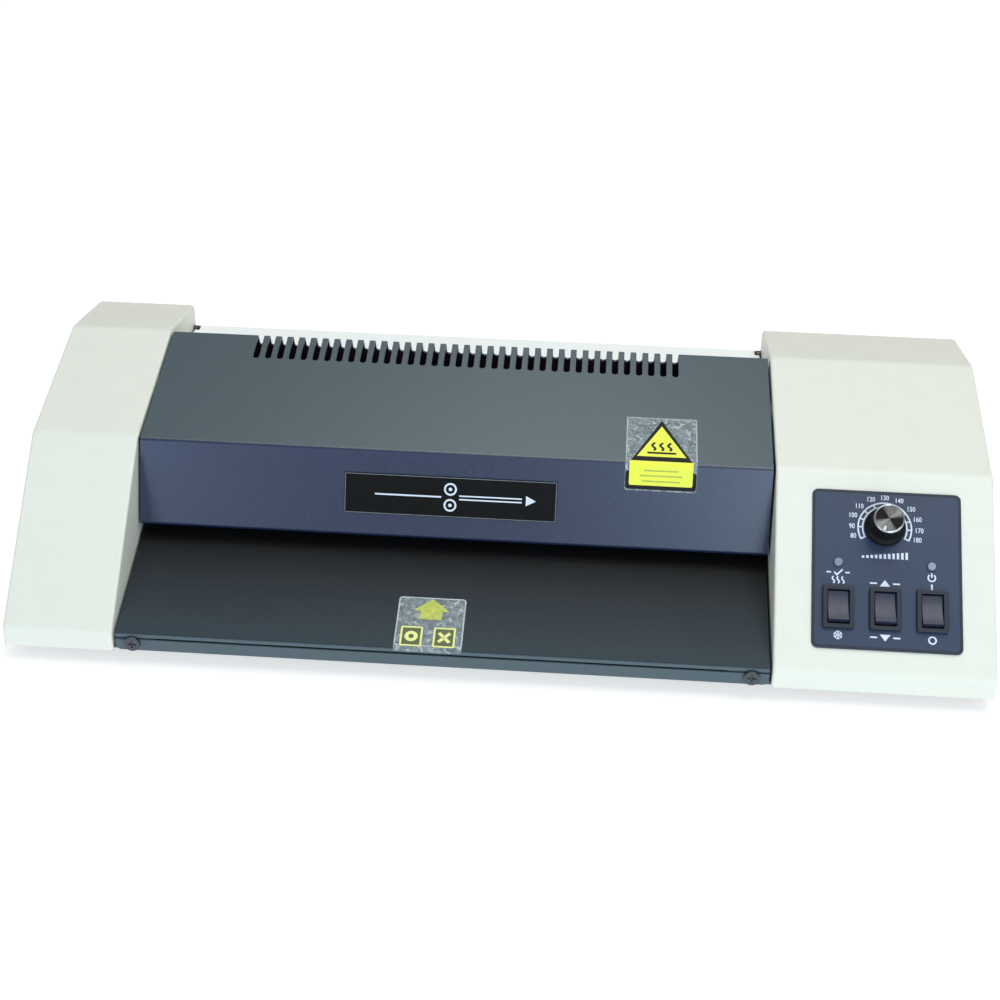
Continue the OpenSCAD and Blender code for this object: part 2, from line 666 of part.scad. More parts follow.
module side_frame(x0, foot_dir) difference() {
    union() {
        block([x0, frame_y[0], frame_z[0]], [x0 + frame_t, frame_y[1], frame_z[1]]);
        foot_x0 = foot_dir > 0 ? x0 : x0 + frame_t - frame_foot - frame_t;
        block([foot_x0, frame_y[0], frame_z[0]],
            [foot_x0 + frame_foot + frame_t, frame_y[1], frame_z[0] + frame_t]);
    }
    for (y = [hot_y, cold_y]) {
        block([x0 - over, y - slot_w / 2, slot_z], [x0 + frame_t + over, y + slot_w / 2, frame_z[1] + over]);
        axis_x(x0 - over, y, lower_z) cylinder(r = bush_r + fit, h = frame_t + 2 * over);
    }
    for (spot = bar_spots)
        axis_x(x0 - over, spot.x, spot.y) cylinder(r = screw_hole_r, h = frame_t + 2 * over);
    for (spot = rod_spots())
        axis_x(x0 - over, spot.x, spot.y) cylinder(r = rod_r + fit, h = frame_t + 2 * over);
    for (spot = floor_screw_spots())
        translate([spot.x, spot.y, 0]) cylinder(r = screw_hole_r, h = frame_z[0] + 2 * frame_t);
    if (foot_dir > 0) {
        axis_x(x0 - over, idler_y, lower_z) cylinder(r = idler_pin_r, h = frame_t + 2 * over);
        for (spot = post_spots)
            axis_x(x0 - over, spot.x, spot.y) cylinder(r = screw_hole_r, h = frame_t + 2 * over);
    }
}

function rod_spots() = [
    [hot_y + rod_reach * cos(rod_angle), lower_z - rod_reach * sin(rod_angle)],
    [hot_y + rod_reach * cos(rod_angle), upper_z + rod_reach * sin(rod_angle)]];

module left_side_frame() color("#b9bec2") place() side_frame(lf_x, -1);
module right_side_frame() color("#b9bec2") place() side_frame(rf_x, 1);

module tie_bars() color("#c9ccd0") place() for (spot = bar_spots)
    axis_x(lf_x + frame_t, spot.x, spot.y) difference() {
        cylinder(r = bar_r, h = rf_x - lf_x - frame_t);
        for (z = [-over, rf_x - lf_x - frame_t - 8])
            translate([0, 0, z]) cylinder(r = screw_hole_r, h = 8 + over);
    }

module roller_core(y, z) color("#c3c7cb") place() {
    axis_x(journal_x[0], y, z) cylinder(r = journal_r, h = journal_x[1] - journal_x[0]);
    axis_x(shoulder_x[0], y, z) cylinder(r = core_r, h = shoulder_x[1] - shoulder_x[0]);
}

module roller_sleeve(y, z) color("#b5482f") place()
    axis_x(sleeve_x[0], y, z) ring(sleeve_r, core_r, sleeve_x[1] - sleeve_x[0]);

module lower_hot_core() roller_core(hot_y, lower_z);
module upper_hot_core() roller_core(hot_y, upper_z);
module lower_cold_core() roller_core(cold_y, lower_z);
module upper_cold_core() roller_core(cold_y, upper_z);
module lower_hot_sleeve() roller_sleeve(hot_y, lower_z);
module upper_hot_sleeve() roller_sleeve(hot_y, upper_z);
module lower_cold_sleeve() roller_sleeve(cold_y, lower_z);
module upper_cold_sleeve() roller_sleeve(cold_y, upper_z);

module lower_bushes() color("#b08d4f") place() for (y = [hot_y, cold_y]) {
    axis_x(lf_x - bush_flange_t, y, lower_z) {
        ring(bush_flange_r, journal_r + fit, bush_flange_t);
        ring(bush_r, journal_r + fit, bush_flange_t + frame_t);
    }
    axis_x(rf_x - bush_flange_t, y, lower_z) {
        ring(bush_flange_r, journal_r + fit, bush_flange_t);
        ring(bush_r, journal_r + fit, bush_flange_t + frame_t);
    }
}

// bearing block that slides in a frame slot, flanged on both sides of the frame
module bearing_block(x0, y) difference() {
    union() {
        block([x0 - 1.9, y - block_w / 2, block_z[0]], [x0 + frame_t + 1.6, y + block_w / 2, block_z[1]]);
        for (x = [[x0 - 1.9, x0 - 0.1], [x0 + frame_t + 0.1, x0 + frame_t + 1.6]])
            block([x[0], y - block_flange_w / 2, block_z[0]], [x[1], y + block_flange_w / 2, block_z[1]]);
    }
    axis_x(x0 - 4, y, upper_z) cylinder(r = journal_r + fit, h = frame_t + 8);
}

// the right frame's inner side is its short-flange side, so the block there is turned round
module block_pair(y) {
    bearing_block(lf_x, y);
    translate([2 * rf_x + frame_t, 0, 0]) mirror([1, 0, 0]) bearing_block(rf_x, y);
}

module hot_bearing_blocks() color("#8a6a3a") place() block_pair(hot_y);
module cold_bearing_blocks() color("#8a6a3a") place() block_pair(cold_y);

// coil spring from a block's top to the spring plate: a ring of points swept up a helix
module coil_spring(z0, z1) {
    n = spring_turns * spring_steps;
    rise = (z1 - z0 - 2 * wire_r - 0.1) / n;
    pts = [for (i = [0 : n], k = [0 : coil_sides - 1])
        let (a = 360 * i / spring_steps, b = 360 * k / coil_sides, r = spring_r + wire_r * cos(b))
        [r * cos(a), r * sin(a), z0 + 0.05 + wire_r + rise * i + wire_r * sin(b)]];
    sides = [for (i = [0 : n - 1], k = [0 : coil_sides - 1])
        let (p = i * coil_sides, q = (k + 1) % coil_sides)
        [p + k, p + q, p + q + coil_sides, p + k + coil_sides]];
    ends = [[for (k = [coil_sides - 1 : -1 : 0]) k], [for (k = [0 : coil_sides - 1]) n * coil_sides + k]];
    polyhedron(pts, concat(sides, ends));
}
module spring_pair(y) for (x = [lf_x + frame_t / 2, rf_x + frame_t / 2])
    translate([x, y, 0]) coil_spring(block_z[1], plate_z[0]);

module hot_springs() color("#d7dade") place() spring_pair(hot_y);
module cold_springs() color("#d7dade") place() spring_pair(cold_y);

module spring_plates() color("#a9aeb3") place() for (x0 = [lf_x, rf_x]) difference() {
    block([x0 + frame_t / 2 - plate_half, plate_y[0], plate_z[0]],
        [x0 + frame_t / 2 + plate_half, plate_y[1], plate_z[1]]);
    for (y = [[plate_y[0] - over, hot_y - slot_w / 2], [hot_y + slot_w / 2, cold_y - slot_w / 2],
        [cold_y + slot_w / 2, plate_y[1] + over]])
        block([x0 - fit, y[0], plate_z[0] - over], [x0 + frame_t + fit, y[1], frame_z[1] + fit]);
}

// aluminium shoe round the outer side of a hot roller, with a channel for its heating rod
module heater_shoe(z, up) color("#d0d3d6") place() along_x(shoe_x[0], shoe_x[1])
    translate([hot_y, z]) difference() {
        union() {
            intersection() {
                difference() {
                    circle(r = shoe_r[1]);
                    circle(r = shoe_r[0]);
                }
                polygon([[0, 0], for (a = [-1 : 1]) 2 * shoe_r[1]
                    * [sin(a * shoe_half_angle), up * cos(a * shoe_half_angle)]]);
            }
            difference() {
                translate([rod_reach * cos(rod_angle), up * rod_reach * sin(rod_angle)])
                    circle(r = rod_r + rod_wall);
                circle(r = shoe_r[0] + 0.2);
            }
            if (up > 0) translate([-7, shoe_r[1] - 2]) square([14, 2 + shoe_pad]);
        }
        translate([rod_reach * cos(rod_angle), up * rod_reach * sin(rod_angle)])
            circle(r = rod_r + fit);
    }

module lower_heater_shoe() heater_shoe(lower_z, -1);
module upper_heater_shoe() heater_shoe(upper_z, 1);

module heating_rods() color("#8d6b52") place() for (spot = rod_spots())
    axis_x(lf_x - 4, spot.x, spot.y) cylinder(r = rod_r, h = rf_x + frame_t + 1 - lf_x + 4);

module thermostat() color("#e6dccb") place() translate([throat_mid - 30, hot_y, shoe_top]) {
    cylinder(r = 7.5, h = 4);
    for (x = [-4.5, 4.5]) translate([x - 0.4, -2, 4 - eps]) cube([0.8, 4, 3]);
}

module temperature_sensor() color("#c9a24a") place() translate([throat_mid + 40, hot_y, shoe_top]) {
    block([-5, -3, 0], [5, 3, 1.5]);
    axis_x(-4, 0, 3.2) cylinder(r = 1.8, h = 8);
}

// ---- drive ----

function involute(a) = tan(a) * 180 / PI - a;
// one tooth of z teeth, centred on the angle mid, as points from its right root to its left
function tooth(z, mid) =
    let (rp = gear_m * z / 2, rb = rp * cos(pressure_angle), ra = rp + gear_m - 0.05,
         rf = rp - 1.25 * gear_m, half = 90 / z - backlash / 4 / rp * 180 / PI,
         rs = [for (i = [0 : flank_steps]) let (r0 = max(rb, rf)) r0 + (ra - r0) * i / flank_steps],
         at = [for (r = rs) half + involute(pressure_angle) - involute(acos(min(1, rb / r)))],
         root = rf * [cos(mid - at[0]), sin(mid - at[0])],
         root_left = rf * [cos(mid + at[0]), sin(mid + at[0])])
    concat([root], [for (i = [0 : flank_steps]) rs[i] * [cos(mid - at[i]), sin(mid - at[i])]],
        [for (i = [flank_steps : -1 : 0]) rs[i] * [cos(mid + at[i]), sin(mid + at[i])]], [root_left]);
function gear_points(z, first) = [for (k = [0 : z - 1]) each tooth(z, first + 360 * k / z)];

// gear with a tooth at the angle first, measured from +Y towards +Z
module gear(y, z, teeth, first, bore_r) along_x(gear_x, gear_x + gear_w) translate([y, z])
    difference() {
        polygon(gear_points(teeth, first));
        circle(r = bore_r);
    }

module roller_gear(y, z, first) color("#e8e6dc") place() gear(y, z, roller_teeth, first, journal_r);
module lower_hot_gear() roller_gear(hot_y, lower_z, up);
module lower_cold_gear() roller_gear(cold_y, lower_z, up);
module upper_hot_gear() roller_gear(hot_y, upper_z, down + 180 / roller_teeth);
module upper_cold_gear() roller_gear(cold_y, upper_z, down + 180 / roller_teeth);

module idler_gear() color("#e8e6dc") place() difference() {
    gear(idler_y, lower_z, idler_teeth, 0, idler_pin_r + fit);
    for (x = [gear_x - over, gear_x + gear_w - 2])
        axis_x(x, idler_y, lower_z) ring(idler_r - 4, 7, 2 + over);
}

module idler_pin() color("#c3c7cb") place() {
    axis_x(rf_x - 1.5, idler_y, lower_z) cylinder(r = washer_r, h = 1.5);
    axis_x(rf_x - 0.5, idler_y, lower_z) cylinder(r = idler_pin_r, h = gear_x + gear_w + 1.8 - rf_x + 0.5);
    axis_x(rf_x + frame_t, idler_y, lower_z) cylinder(r = idler_collar_r, h = gear_x - rf_x - frame_t - 0.2);
    axis_x(gear_x + gear_w + 0.2, idler_y, lower_z) cylinder(r = washer_r, h = 1);
}

module motor_pinion() color("#c9a24a") place() {
    gear(idler_y, pinion_z, pinion_teeth, down, output_r - 0.5);
    axis_x(gear_x - 0.5, idler_y, pinion_z) cylinder(r = output_r, h = bracket_x + 14 - gear_x);
}

module motor_bracket() color("#a9aeb3") place() {
    difference() {
        union() {
            block([bracket_x, bracket_y[0], frame_z[0]], [bracket_x + frame_t, bracket_y[1], bracket_top]);
            block([bracket_x, bracket_y[0], frame_z[0]],
                [bracket_x + frame_t + bracket_foot, bracket_y[1], frame_z[0] + frame_t]);
        }
        axis_x(bracket_x - over, idler_y, pinion_z) cylinder(r = 6, h = frame_t + 2 * over);
        for (spot = concat(post_spots, motor_screw_spots()))
            axis_x(bracket_x - over, spot.x, spot.y) cylinder(r = screw_hole_r, h = frame_t + 2 * over);
        for (spot = floor_screw_spots())
            translate([spot.x, spot.y, 0]) cylinder(r = screw_hole_r, h = frame_z[0] + 2 * frame_t);
    }
    for (spot = post_spots) axis_x(rf_x + frame_t, spot.x, spot.y)
        ring(post_r, screw_hole_r, bracket_x - rf_x - frame_t + eps);
}

function motor_screw_spots() = [for (d = [-1, 1]) motor_centre + [d * ear_reach, 0]];

module motor() color("#9aa0a6") place() {
    x0 = bracket_x + frame_t;
    difference() {
        union() {
            axis_x(x0, motor_centre.x, motor_centre.y) cylinder(r = motor_r, h = gearbox_l);
            for (spot = motor_screw_spots()) axis_x(x0, spot.x, spot.y) cylinder(r = 5, h = 3);
            block([x0, motor_centre.x - ear_reach, motor_centre.y - 5],
                [x0 + 3, motor_centre.x + ear_reach, motor_centre.y + 5]);
        }
        axis_x(x0 - over, idler_y, pinion_z) cylinder(r = output_r + fit, h = 13.5 + over);
        for (spot = motor_screw_spots())
            axis_x(x0 - over, spot.x, spot.y) cylinder(r = screw_hole_r, h = 5);
    }
    axis_x(x0 + gearbox_l, motor_centre.x, motor_centre.y) cylinder(r = motor_r - 1, h = motor_l);
    axis_x(x0 + gearbox_l + motor_l, motor_centre.x, motor_centre.y) cylinder(r = 6, h = 3);
}

// leads in the right end cap, each a list of corner points that ends at the terminal strip
function to_strip(dy) = [[strip_x - 7, strip_y + dy, strip_z], [strip_x, strip_y + dy, strip_z]];
leads = [
    concat([[inlet_x - 7, 197.9, inlet_z - 2], [inlet_x - 7, 193, inlet_z - 2], [212, 190, 34],
        [219, 184, 60]], to_strip(7)),
    concat([[column_x[2], tail_y, tail_z], [222, 54, 12], [221, 92, 60]], to_strip(-7)),
    concat([[column_x[0], tail_y, tail_z], [172, 50, 6], [222, 52, 6], [224, 88, 66]], to_strip(-3.5)),
    concat([[motor_end, motor_centre.x, motor_centre.y],
        [motor_end + 4, motor_centre.x, motor_centre.y], [motor_end + 4, 122, 54]], to_strip(0)),
    concat([[rf_x + frame_t + 1, rod_spots()[1].x, rod_spots()[1].y],
        [151, rod_spots()[1].x, rod_spots()[1].y], [151, rod_spots()[1].x, 78], [196, 112, 78]], to_strip(3.5))];

// the corners of a route cut off by smooth curves
function smooth(pts) = let (k = len(pts) - 1) [pts[0],
    for (i = [1 : k - 1]) let (b = pts[i],
        cut = min(wire_bend, 0.45 * norm(pts[i - 1] - b), 0.45 * norm(pts[i + 1] - b)),
        p = b + unit(pts[i - 1] - b) * cut, q = b + unit(pts[i + 1] - b) * cut)
        each [for (t = [0 : 1 / bend_steps : 1]) (1 - t) ^ 2 * p + 2 * t * (1 - t) * b + t ^ 2 * q],
    pts[k]];

// a round wire along a route, as one swept solid
module wire(route) {
    pts = smooth(route);
    k = len(pts) - 1;
    rings = [for (i = [0 : k], j = [0 : wire_sides - 1])
        let (d = unit(pts[min(i + 1, k)] - pts[max(i - 1, 0)]), u = unit(cross(d, wire_up)),
             a = 360 * j / wire_sides)
        pts[i] + wire_d / 2 * (cos(a) * u + sin(a) * cross(u, d))];
    sides = [for (i = [0 : k - 1], j = [0 : wire_sides - 1])
        let (a = i * wire_sides, b = (j + 1) % wire_sides)
        [a + j, a + b, a + wire_sides + b, a + wire_sides + j]];
    polyhedron(rings, concat(sides, [[for (j = [wire_sides - 1 : -1 : 0]) j],
        [for (j = [0 : wire_sides - 1]) k * wire_sides + j]]));
}

module wiring() color("#a33a30") place() for (lead = leads) wire(lead);

// ---- feet and fasteners ----

module rubber_feet() color("#202226") place() for (spot = foot_spots())
    translate([spot.x, spot.y, -foot_h]) difference() {
        rotate_extrude() polygon([[0, 0], [foot_r - 1.5, 0], [foot_r, 1.5], [foot_r - 1, foot_h], [0, foot_h]]);
        translate([0, 0, -over]) cylinder(r = 4, h = 4 + over);
        cylinder(r = screw_hole_r, h = foot_h + over);
    }

// screws that show from outside: front flange, rear panel, rear corners of the caps
module visible_screws() color("#8d979e") place() {
    for (x = [x_lc + front_screw_in, x_rc - front_screw_in])
        translate([x, flange_y, front_screw_z]) rotate([90, 0, 0]) screw(8, 3.9, flange_y);
    for (x = rear_screw_x) translate([x, body_d, pan_rear_h / 2])
        rotate([-90, 0, 0]) screw(5, 2.8, rear_proud);
    at_deck_screws() screw(5, 2.8, rear_proud);
    translate([x_lc, corner_screw.x, corner_screw.y]) rotate([0, 90, 0]) screw(7, 2.75, 2.4);
    translate([x_rc, corner_screw.x, corner_screw.y]) rotate([0, -90, 0]) screw(7, 2.75, 2.4);
}

module inner_screws() color("#8d979e") place() {
    for (spot = cap_boss_spots) translate([spot.x, spot.y, 0]) rotate([180, 0, 0]) screw(10);
    for (spot = floor_screw_spots()) translate([spot.x, spot.y, frame_z[0] + frame_t]) screw(7);
    for (spot = foot_spots()) translate([spot.x, spot.y, 4 - foot_h]) rotate([180, 0, 0]) screw(8);
    for (spot = bar_spots) {
        translate([lf_x, spot.x, spot.y]) rotate([0, -90, 0]) screw(9);
        translate([rf_x + frame_t, spot.x, spot.y]) rotate([0, 90, 0]) screw(9);
    }
    for (spot = post_spots) {
        translate([rf_x, spot.x, spot.y]) rotate([0, -90, 0]) screw(8);
        translate([bracket_x + frame_t, spot.x, spot.y]) rotate([0, 90, 0]) screw(8);
    }
    for (spot = motor_screw_spots())
        translate([bracket_x + frame_t + 3, spot.x, spot.y]) rotate([0, 90, 0]) screw(6);
    board_corners() translate([board_x, 0, 0]) rotate([0, -90, 0]) screw(7);
}

left_end_cap();
right_end_cap();
top_cover();
rear_panel();
base_pan();
feed_tray();
transfer_guide();
exit_guide();
nameplate();
labels();
control_panel();
heat_switch_body();
direction_switch_body();
power_switch_body();
heat_rocker();
direction_rocker();
power_rocker();
temperature_knob();
potentiometer_shaft();
potentiometer_body();
ready_lamp();
power_lamp();
control_board();
board_components();
inlet_socket();
left_side_frame();
right_side_frame();
tie_bars();
lower_hot_core();
lower_hot_sleeve();
lower_hot_gear();
upper_hot_core();
upper_hot_sleeve();
upper_hot_gear();
lower_cold_core();
lower_cold_sleeve();
lower_cold_gear();
upper_cold_core();
upper_cold_sleeve();
upper_cold_gear();
lower_bushes();
hot_bearing_blocks();
cold_bearing_blocks();
hot_springs();
cold_springs();
spring_plates();
lower_heater_shoe();
upper_heater_shoe();
heating_rods();
thermostat();
temperature_sensor();
idler_gear();
idler_pin();
motor_pinion();
motor_bracket();
motor();
rubber_feet();
wiring();
visible_screws();
inner_screws();
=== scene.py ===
import json
from math import atan2, cos, degrees, pi, radians, sin, sqrt, tan

import bmesh
import bpy
from mathutils import Matrix, Vector, noise


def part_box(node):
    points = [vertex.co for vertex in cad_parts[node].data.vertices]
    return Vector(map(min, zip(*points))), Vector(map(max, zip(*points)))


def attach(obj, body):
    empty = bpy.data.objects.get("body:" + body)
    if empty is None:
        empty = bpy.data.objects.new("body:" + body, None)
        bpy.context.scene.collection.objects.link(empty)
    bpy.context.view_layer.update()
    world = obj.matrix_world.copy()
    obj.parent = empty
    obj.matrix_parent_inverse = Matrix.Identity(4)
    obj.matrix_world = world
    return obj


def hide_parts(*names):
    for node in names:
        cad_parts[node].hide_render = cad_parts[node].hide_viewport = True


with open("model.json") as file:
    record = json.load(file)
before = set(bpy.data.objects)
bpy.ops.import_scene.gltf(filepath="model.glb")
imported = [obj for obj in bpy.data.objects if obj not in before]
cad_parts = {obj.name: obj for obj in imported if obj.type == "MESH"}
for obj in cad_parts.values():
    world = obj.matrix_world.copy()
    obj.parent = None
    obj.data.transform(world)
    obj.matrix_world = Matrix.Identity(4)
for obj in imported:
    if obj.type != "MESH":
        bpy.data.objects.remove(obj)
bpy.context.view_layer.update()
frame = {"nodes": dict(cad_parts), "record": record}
nodes = frame["nodes"]
record = frame["record"]
node_body = {n: b for b, names in record["behaviour"]["bodies"].items() for n in names}
node_slot = {part["node"]: part["material_slot"] for part in record["subparts"]}
MM = 0.001
SWITCHES = ("heat", "direction", "power")

# ---------------------------------------------------------------- places, from the CAD frame
# Depths and heights are in millimetres from the front and underside of the end caps.

cap_lo, cap_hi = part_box("left_end_cap")
FRONT, UNDER = cap_lo.y, cap_lo.z      # where depth and height are 0, metres
CAP_DEPTH = (cap_hi.y - FRONT) / MM
SLOPE = 40.4                           # front slope of the end caps, degrees
SLOPE_Z = 10.5                         # height at which it starts
SLOPE_END = (76.0, 74.6)               # where its bend into the top starts, just inside the surface
THROAT = (63.4, 31.8)                  # lower edge of the cover's front face: depth, height
BEND = (78.0, 75.99)                   # bend between the cover's face and top
CREST = (165.0, 94.6)                  # highest line of the cover
TRAY = (0.0, 8.8)                      # feed tray, produced to the front of the caps
TRAY_RISE = 0.272                      # height gained per depth
TRAY_EDGE = 2.0                        # front face of the tray's lip


def place(x, y, z):
    """A point in metres, from x, depth and height in millimetres."""
    return Vector((x * MM, FRONT + y * MM, UNDER + z * MM))


def plane(x, y, z, angle):
    """Frame of a plane that rises by angle towards the rear, in millimetres."""
    return Matrix.Translation(place(x, y, z)) @ Matrix.Rotation(radians(angle), 4, "X") \
        @ Matrix.Scale(MM, 4)


FACE_ANGLE = degrees(atan2(BEND[1] - THROAT[1], BEND[0] - THROAT[0]))
TOP_ANGLE = degrees(atan2(CREST[1] - BEND[1], CREST[0] - BEND[0]))
slope_plane = plane(0, 0, SLOPE_Z, SLOPE)
face_plane = plane(0, *THROAT, FACE_ANGLE)
top_plane = plane(0, *BEND, TOP_ANGLE)
tray_plane = plane(0, *TRAY, degrees(atan2(TRAY_RISE, 1)))


def middle_x(node):
    """Middle of a node across the machine, in millimetres."""
    lo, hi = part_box(node)
    return (lo.x + hi.x) / 2 / MM


# ---------------------------------------------------------------- camera, floor and light

CAMERA_SPOT = (0.04216, -0.85834, 0.54675)          # metres
CAMERA_TURN = (3.897, 30.563, 0.902)                # yaw, elevation and roll, degrees
CAMERA_SENSOR, CAMERA_LENS = 36, 68.34              # mm
CAMERA_SHIFT = (0.0229, -0.0025)
FLOOR_REACH = 5                                     # half the side of the floor, metres


def make_camera():
    yaw, elevation, roll = (radians(angle) for angle in CAMERA_TURN)
    back = Vector((sin(yaw) * cos(elevation), -cos(yaw) * cos(elevation), sin(elevation)))
    right = Vector((cos(yaw), sin(yaw), 0))
    up = back.cross(right)
    turn = Matrix((cos(roll) * right + sin(roll) * up, cos(roll) * up - sin(roll) * right, back))
    camera = bpy.data.objects.new("camera", bpy.data.cameras.new("camera"))
    bpy.context.scene.collection.objects.link(camera)
    camera.matrix_world = Matrix.Translation(CAMERA_SPOT) @ turn.transposed().to_4x4()
    camera.data.sensor_width, camera.data.lens = CAMERA_SENSOR, CAMERA_LENS
    camera.data.shift_x, camera.data.shift_y = CAMERA_SHIFT
    bpy.context.scene.camera = camera


def softbox(name, spot, target, size, power, color):
    """A rectangular light at spot that points at target, in metres and watts."""
    light = bpy.data.lights.new(name, "AREA")
    light.shape, light.size, light.size_y = "RECTANGLE", *size
    light.energy, light.color = power, color
    lamp = bpy.data.objects.new(name, light)
    lamp.location = spot
    lamp.rotation_euler = (Vector(target) - Vector(spot)).to_track_quat("-Z", "Y").to_euler()
    bpy.context.scene.collection.objects.link(lamp)


def make_studio():
    world = bpy.data.worlds.new("studio")
    bpy.context.scene.world = world
    world.use_nodes = True
    background = world.node_tree.nodes["Background"]
    background.inputs["Color"].default_value = (0.93, 0.96, 1, 1)
    background.inputs["Strength"].default_value = 0.42
    softbox("top_light", (0.3, 0.22, 1.9), (0.05, 0, 0.05), (2.2, 1.2), 23.7, (0.97, 1, 0.98))
    softbox("front_light", (0.5, -1.9, 1.3), (0, 0, 0.05), (1.5, 1.0), 6.5, (1, 0.98, 0.95))
    softbox("right_light", (1.3, -1.0, 0.25), (0.1, -0.03, 0.05), (0.7, 0.5), 1.8, (0.85, 0.93, 1))
    softbox("low_right_light", (0.52, -1.6, 0.32), (0.1, 0, 0.06), (0.5, 0.5), 6.6, (0.58, 0.84, 1))
    softbox("low_left_light", (-0.85, -1.5, 0.32), (-0.15, 0, 0.06), (0.6, 0.5), 4.8, (0.55, 0.76, 1))
    bpy.context.scene.view_settings.view_transform = "Standard"
    mesh = bpy.data.meshes.new("floor")
    corners = [(FLOOR_REACH * x, FLOOR_REACH * y, 0) for x, y in ((-1, -1), (1, -1), (1, 1), (-1, 1))]
    mesh.from_pydata(corners, [], [(0, 1, 2, 3)])
    floor = bpy.data.objects.new("floor", mesh)
    bpy.context.scene.collection.objects.link(floor)
    mesh.materials.append(material(
        "floor_white", (0.55, 0.55, 0.55), rough=0.7, tint=0.01, emission_color=(1, 1, 1, 1),
        emission_strength=0.6))


# ---------------------------------------------------------------- materials

def srgb(r, g, b):
    """Linear colour of an 8-bit sRGB colour."""
    return tuple(((c / 255 + 0.055) / 1.055) ** 2.4 if c > 10 else c / 3294 for c in (r, g, b))


def mapped(make, join, value, ends):
    """The value with its range changed: ends are the old low and high, then the new ones."""
    node = make("ShaderNodeMapRange")
    for key, end in zip(("From Min", "From Max", "To Min", "To Max"), ends):
        node.inputs[key].default_value = end
    join(value, node.inputs["Value"])
    return node.outputs["Result"]


def split_axes(make, join, vector):
    node = make("ShaderNodeSeparateXYZ")
    join(vector, node.inputs["Vector"])
    return node.outputs


def material(name, color, rough=0.5, metal=0.0, tint=0.05, tint_scale=90, rough_spread=0.06,
             grain=0.0, grain_scale=1500, detail=3.0, brushed=None, flakes=None, seconds=(),
             **constants):
    """A Principled material with noise in its colour, roughness and bump.

    tint is the share by which the colour varies, grain the depth of the bump in millimetres,
    brushed the stretch of the noise along each axis, flakes (colour, share, scale)
    small lighter specks, which on the film are painted highlights on its creases,
    and each of seconds (colour, factor builder) another colour and the nodes that say where it is.
    """
    made = bpy.data.materials.new(name)
    made.use_nodes = True
    tree = made.node_tree
    make, join = tree.nodes.new, tree.links.new
    shader = tree.nodes["Principled BSDF"]
    coordinates = make("ShaderNodeTexCoord").outputs["Object"]
    where = coordinates
    if brushed:
        stretch = make("ShaderNodeMapping")
        stretch.inputs["Scale"].default_value = brushed
        join(where, stretch.inputs["Vector"])
        where = stretch.outputs["Vector"]

    def cloud(scale, levels=detail):
        node = make("ShaderNodeTexNoise")
        node.inputs["Scale"].default_value = scale
        node.inputs["Detail"].default_value = levels
        join(where, node.inputs["Vector"])
        return node.outputs["Fac"]

    def spread(fac, low, high, start=0.3, end=0.7):
        return mapped(make, join, fac, (start, end, low, high))

    def mixed(fac, a, b):
        node = make("ShaderNodeMix")
        node.data_type = "RGBA"
        join(fac, node.inputs["Factor"])
        for socket, value in ((node.inputs[6], a), (node.inputs[7], b)):
            if isinstance(value, tuple):
                socket.default_value = (*value, 1)
            else:
                join(value, socket)
        return node.outputs[2]

    dark, light = (tuple(min(1, c * k) for c in color) for k in (1 - tint, 1 + tint))
    shade = mixed(spread(cloud(tint_scale), 0, 1), dark, light)
    for second, factor in seconds:
        shade = mixed(factor(make, join, coordinates), shade, second)
    if flakes:
        speck, share, scale = flakes
        shade = mixed(spread(cloud(scale, 1.0), 0, share, 0.55, 0.75), shade, speck)
    join(shade, shader.inputs["Base Color"])
    smoothest, roughest = max(0.02, rough - rough_spread), min(1, rough + rough_spread)
    join(spread(cloud(tint_scale * 2.7), smoothest, roughest), shader.inputs["Roughness"])
    if grain:
        bump = make("ShaderNodeBump")
        bump.inputs["Distance"].default_value = grain * MM
        join(cloud(grain_scale), bump.inputs["Height"])
        join(bump.outputs["Normal"], shader.inputs["Normal"])
    shader.inputs["Metallic"].default_value = metal
    for key, value in constants.items():
        shader.inputs[key.replace("_", " ").title().replace("Ior", "IOR")].default_value = value
    return made


def facing_front(low, high):
    """Where a surface turns from facing up to facing the front, by its own normal; it places painted light.
    """
    def build(make, join, coordinates):
        normal = make("ShaderNodeNewGeometry").outputs["Normal"]
        return mapped(make, join, split_axes(make, join, normal)["Y"], (low, high, 0, 1))
    return build


def deeper_than(near, far):
    """Where a surface lies deeper than near, in millimetres, and fully so at far; it places painted shade.
    """
    def build(make, join, coordinates):
        ends = (FRONT + near * MM, FRONT + far * MM, 0, 1)
        return mapped(make, join, split_axes(make, join, coordinates)["Y"], ends)
    return build


def painted_reflection_wedges(angle):
    """Two soft dark wedges round the axis of a turned piece: a painted reflection, as on a spun face."""
    def build(make, join, coordinates):
        def calculate(operation, *values):
            node = make("ShaderNodeMath")
            node.operation = operation
            for socket, value in zip(node.inputs, values):
                if isinstance(value, float):
                    socket.default_value = value
                else:
                    join(value, socket)
            return node.outputs[0]

        axes = split_axes(make, join, coordinates)
        bearing = calculate("ADD", calculate("ARCTAN2", axes["Y"], axes["X"]), radians(-angle))
        wave = calculate("COSINE", calculate("MULTIPLY", bearing, 2.0))
        return mapped(make, join, wave, (-0.35, 0.55, 0, 1))
    return build


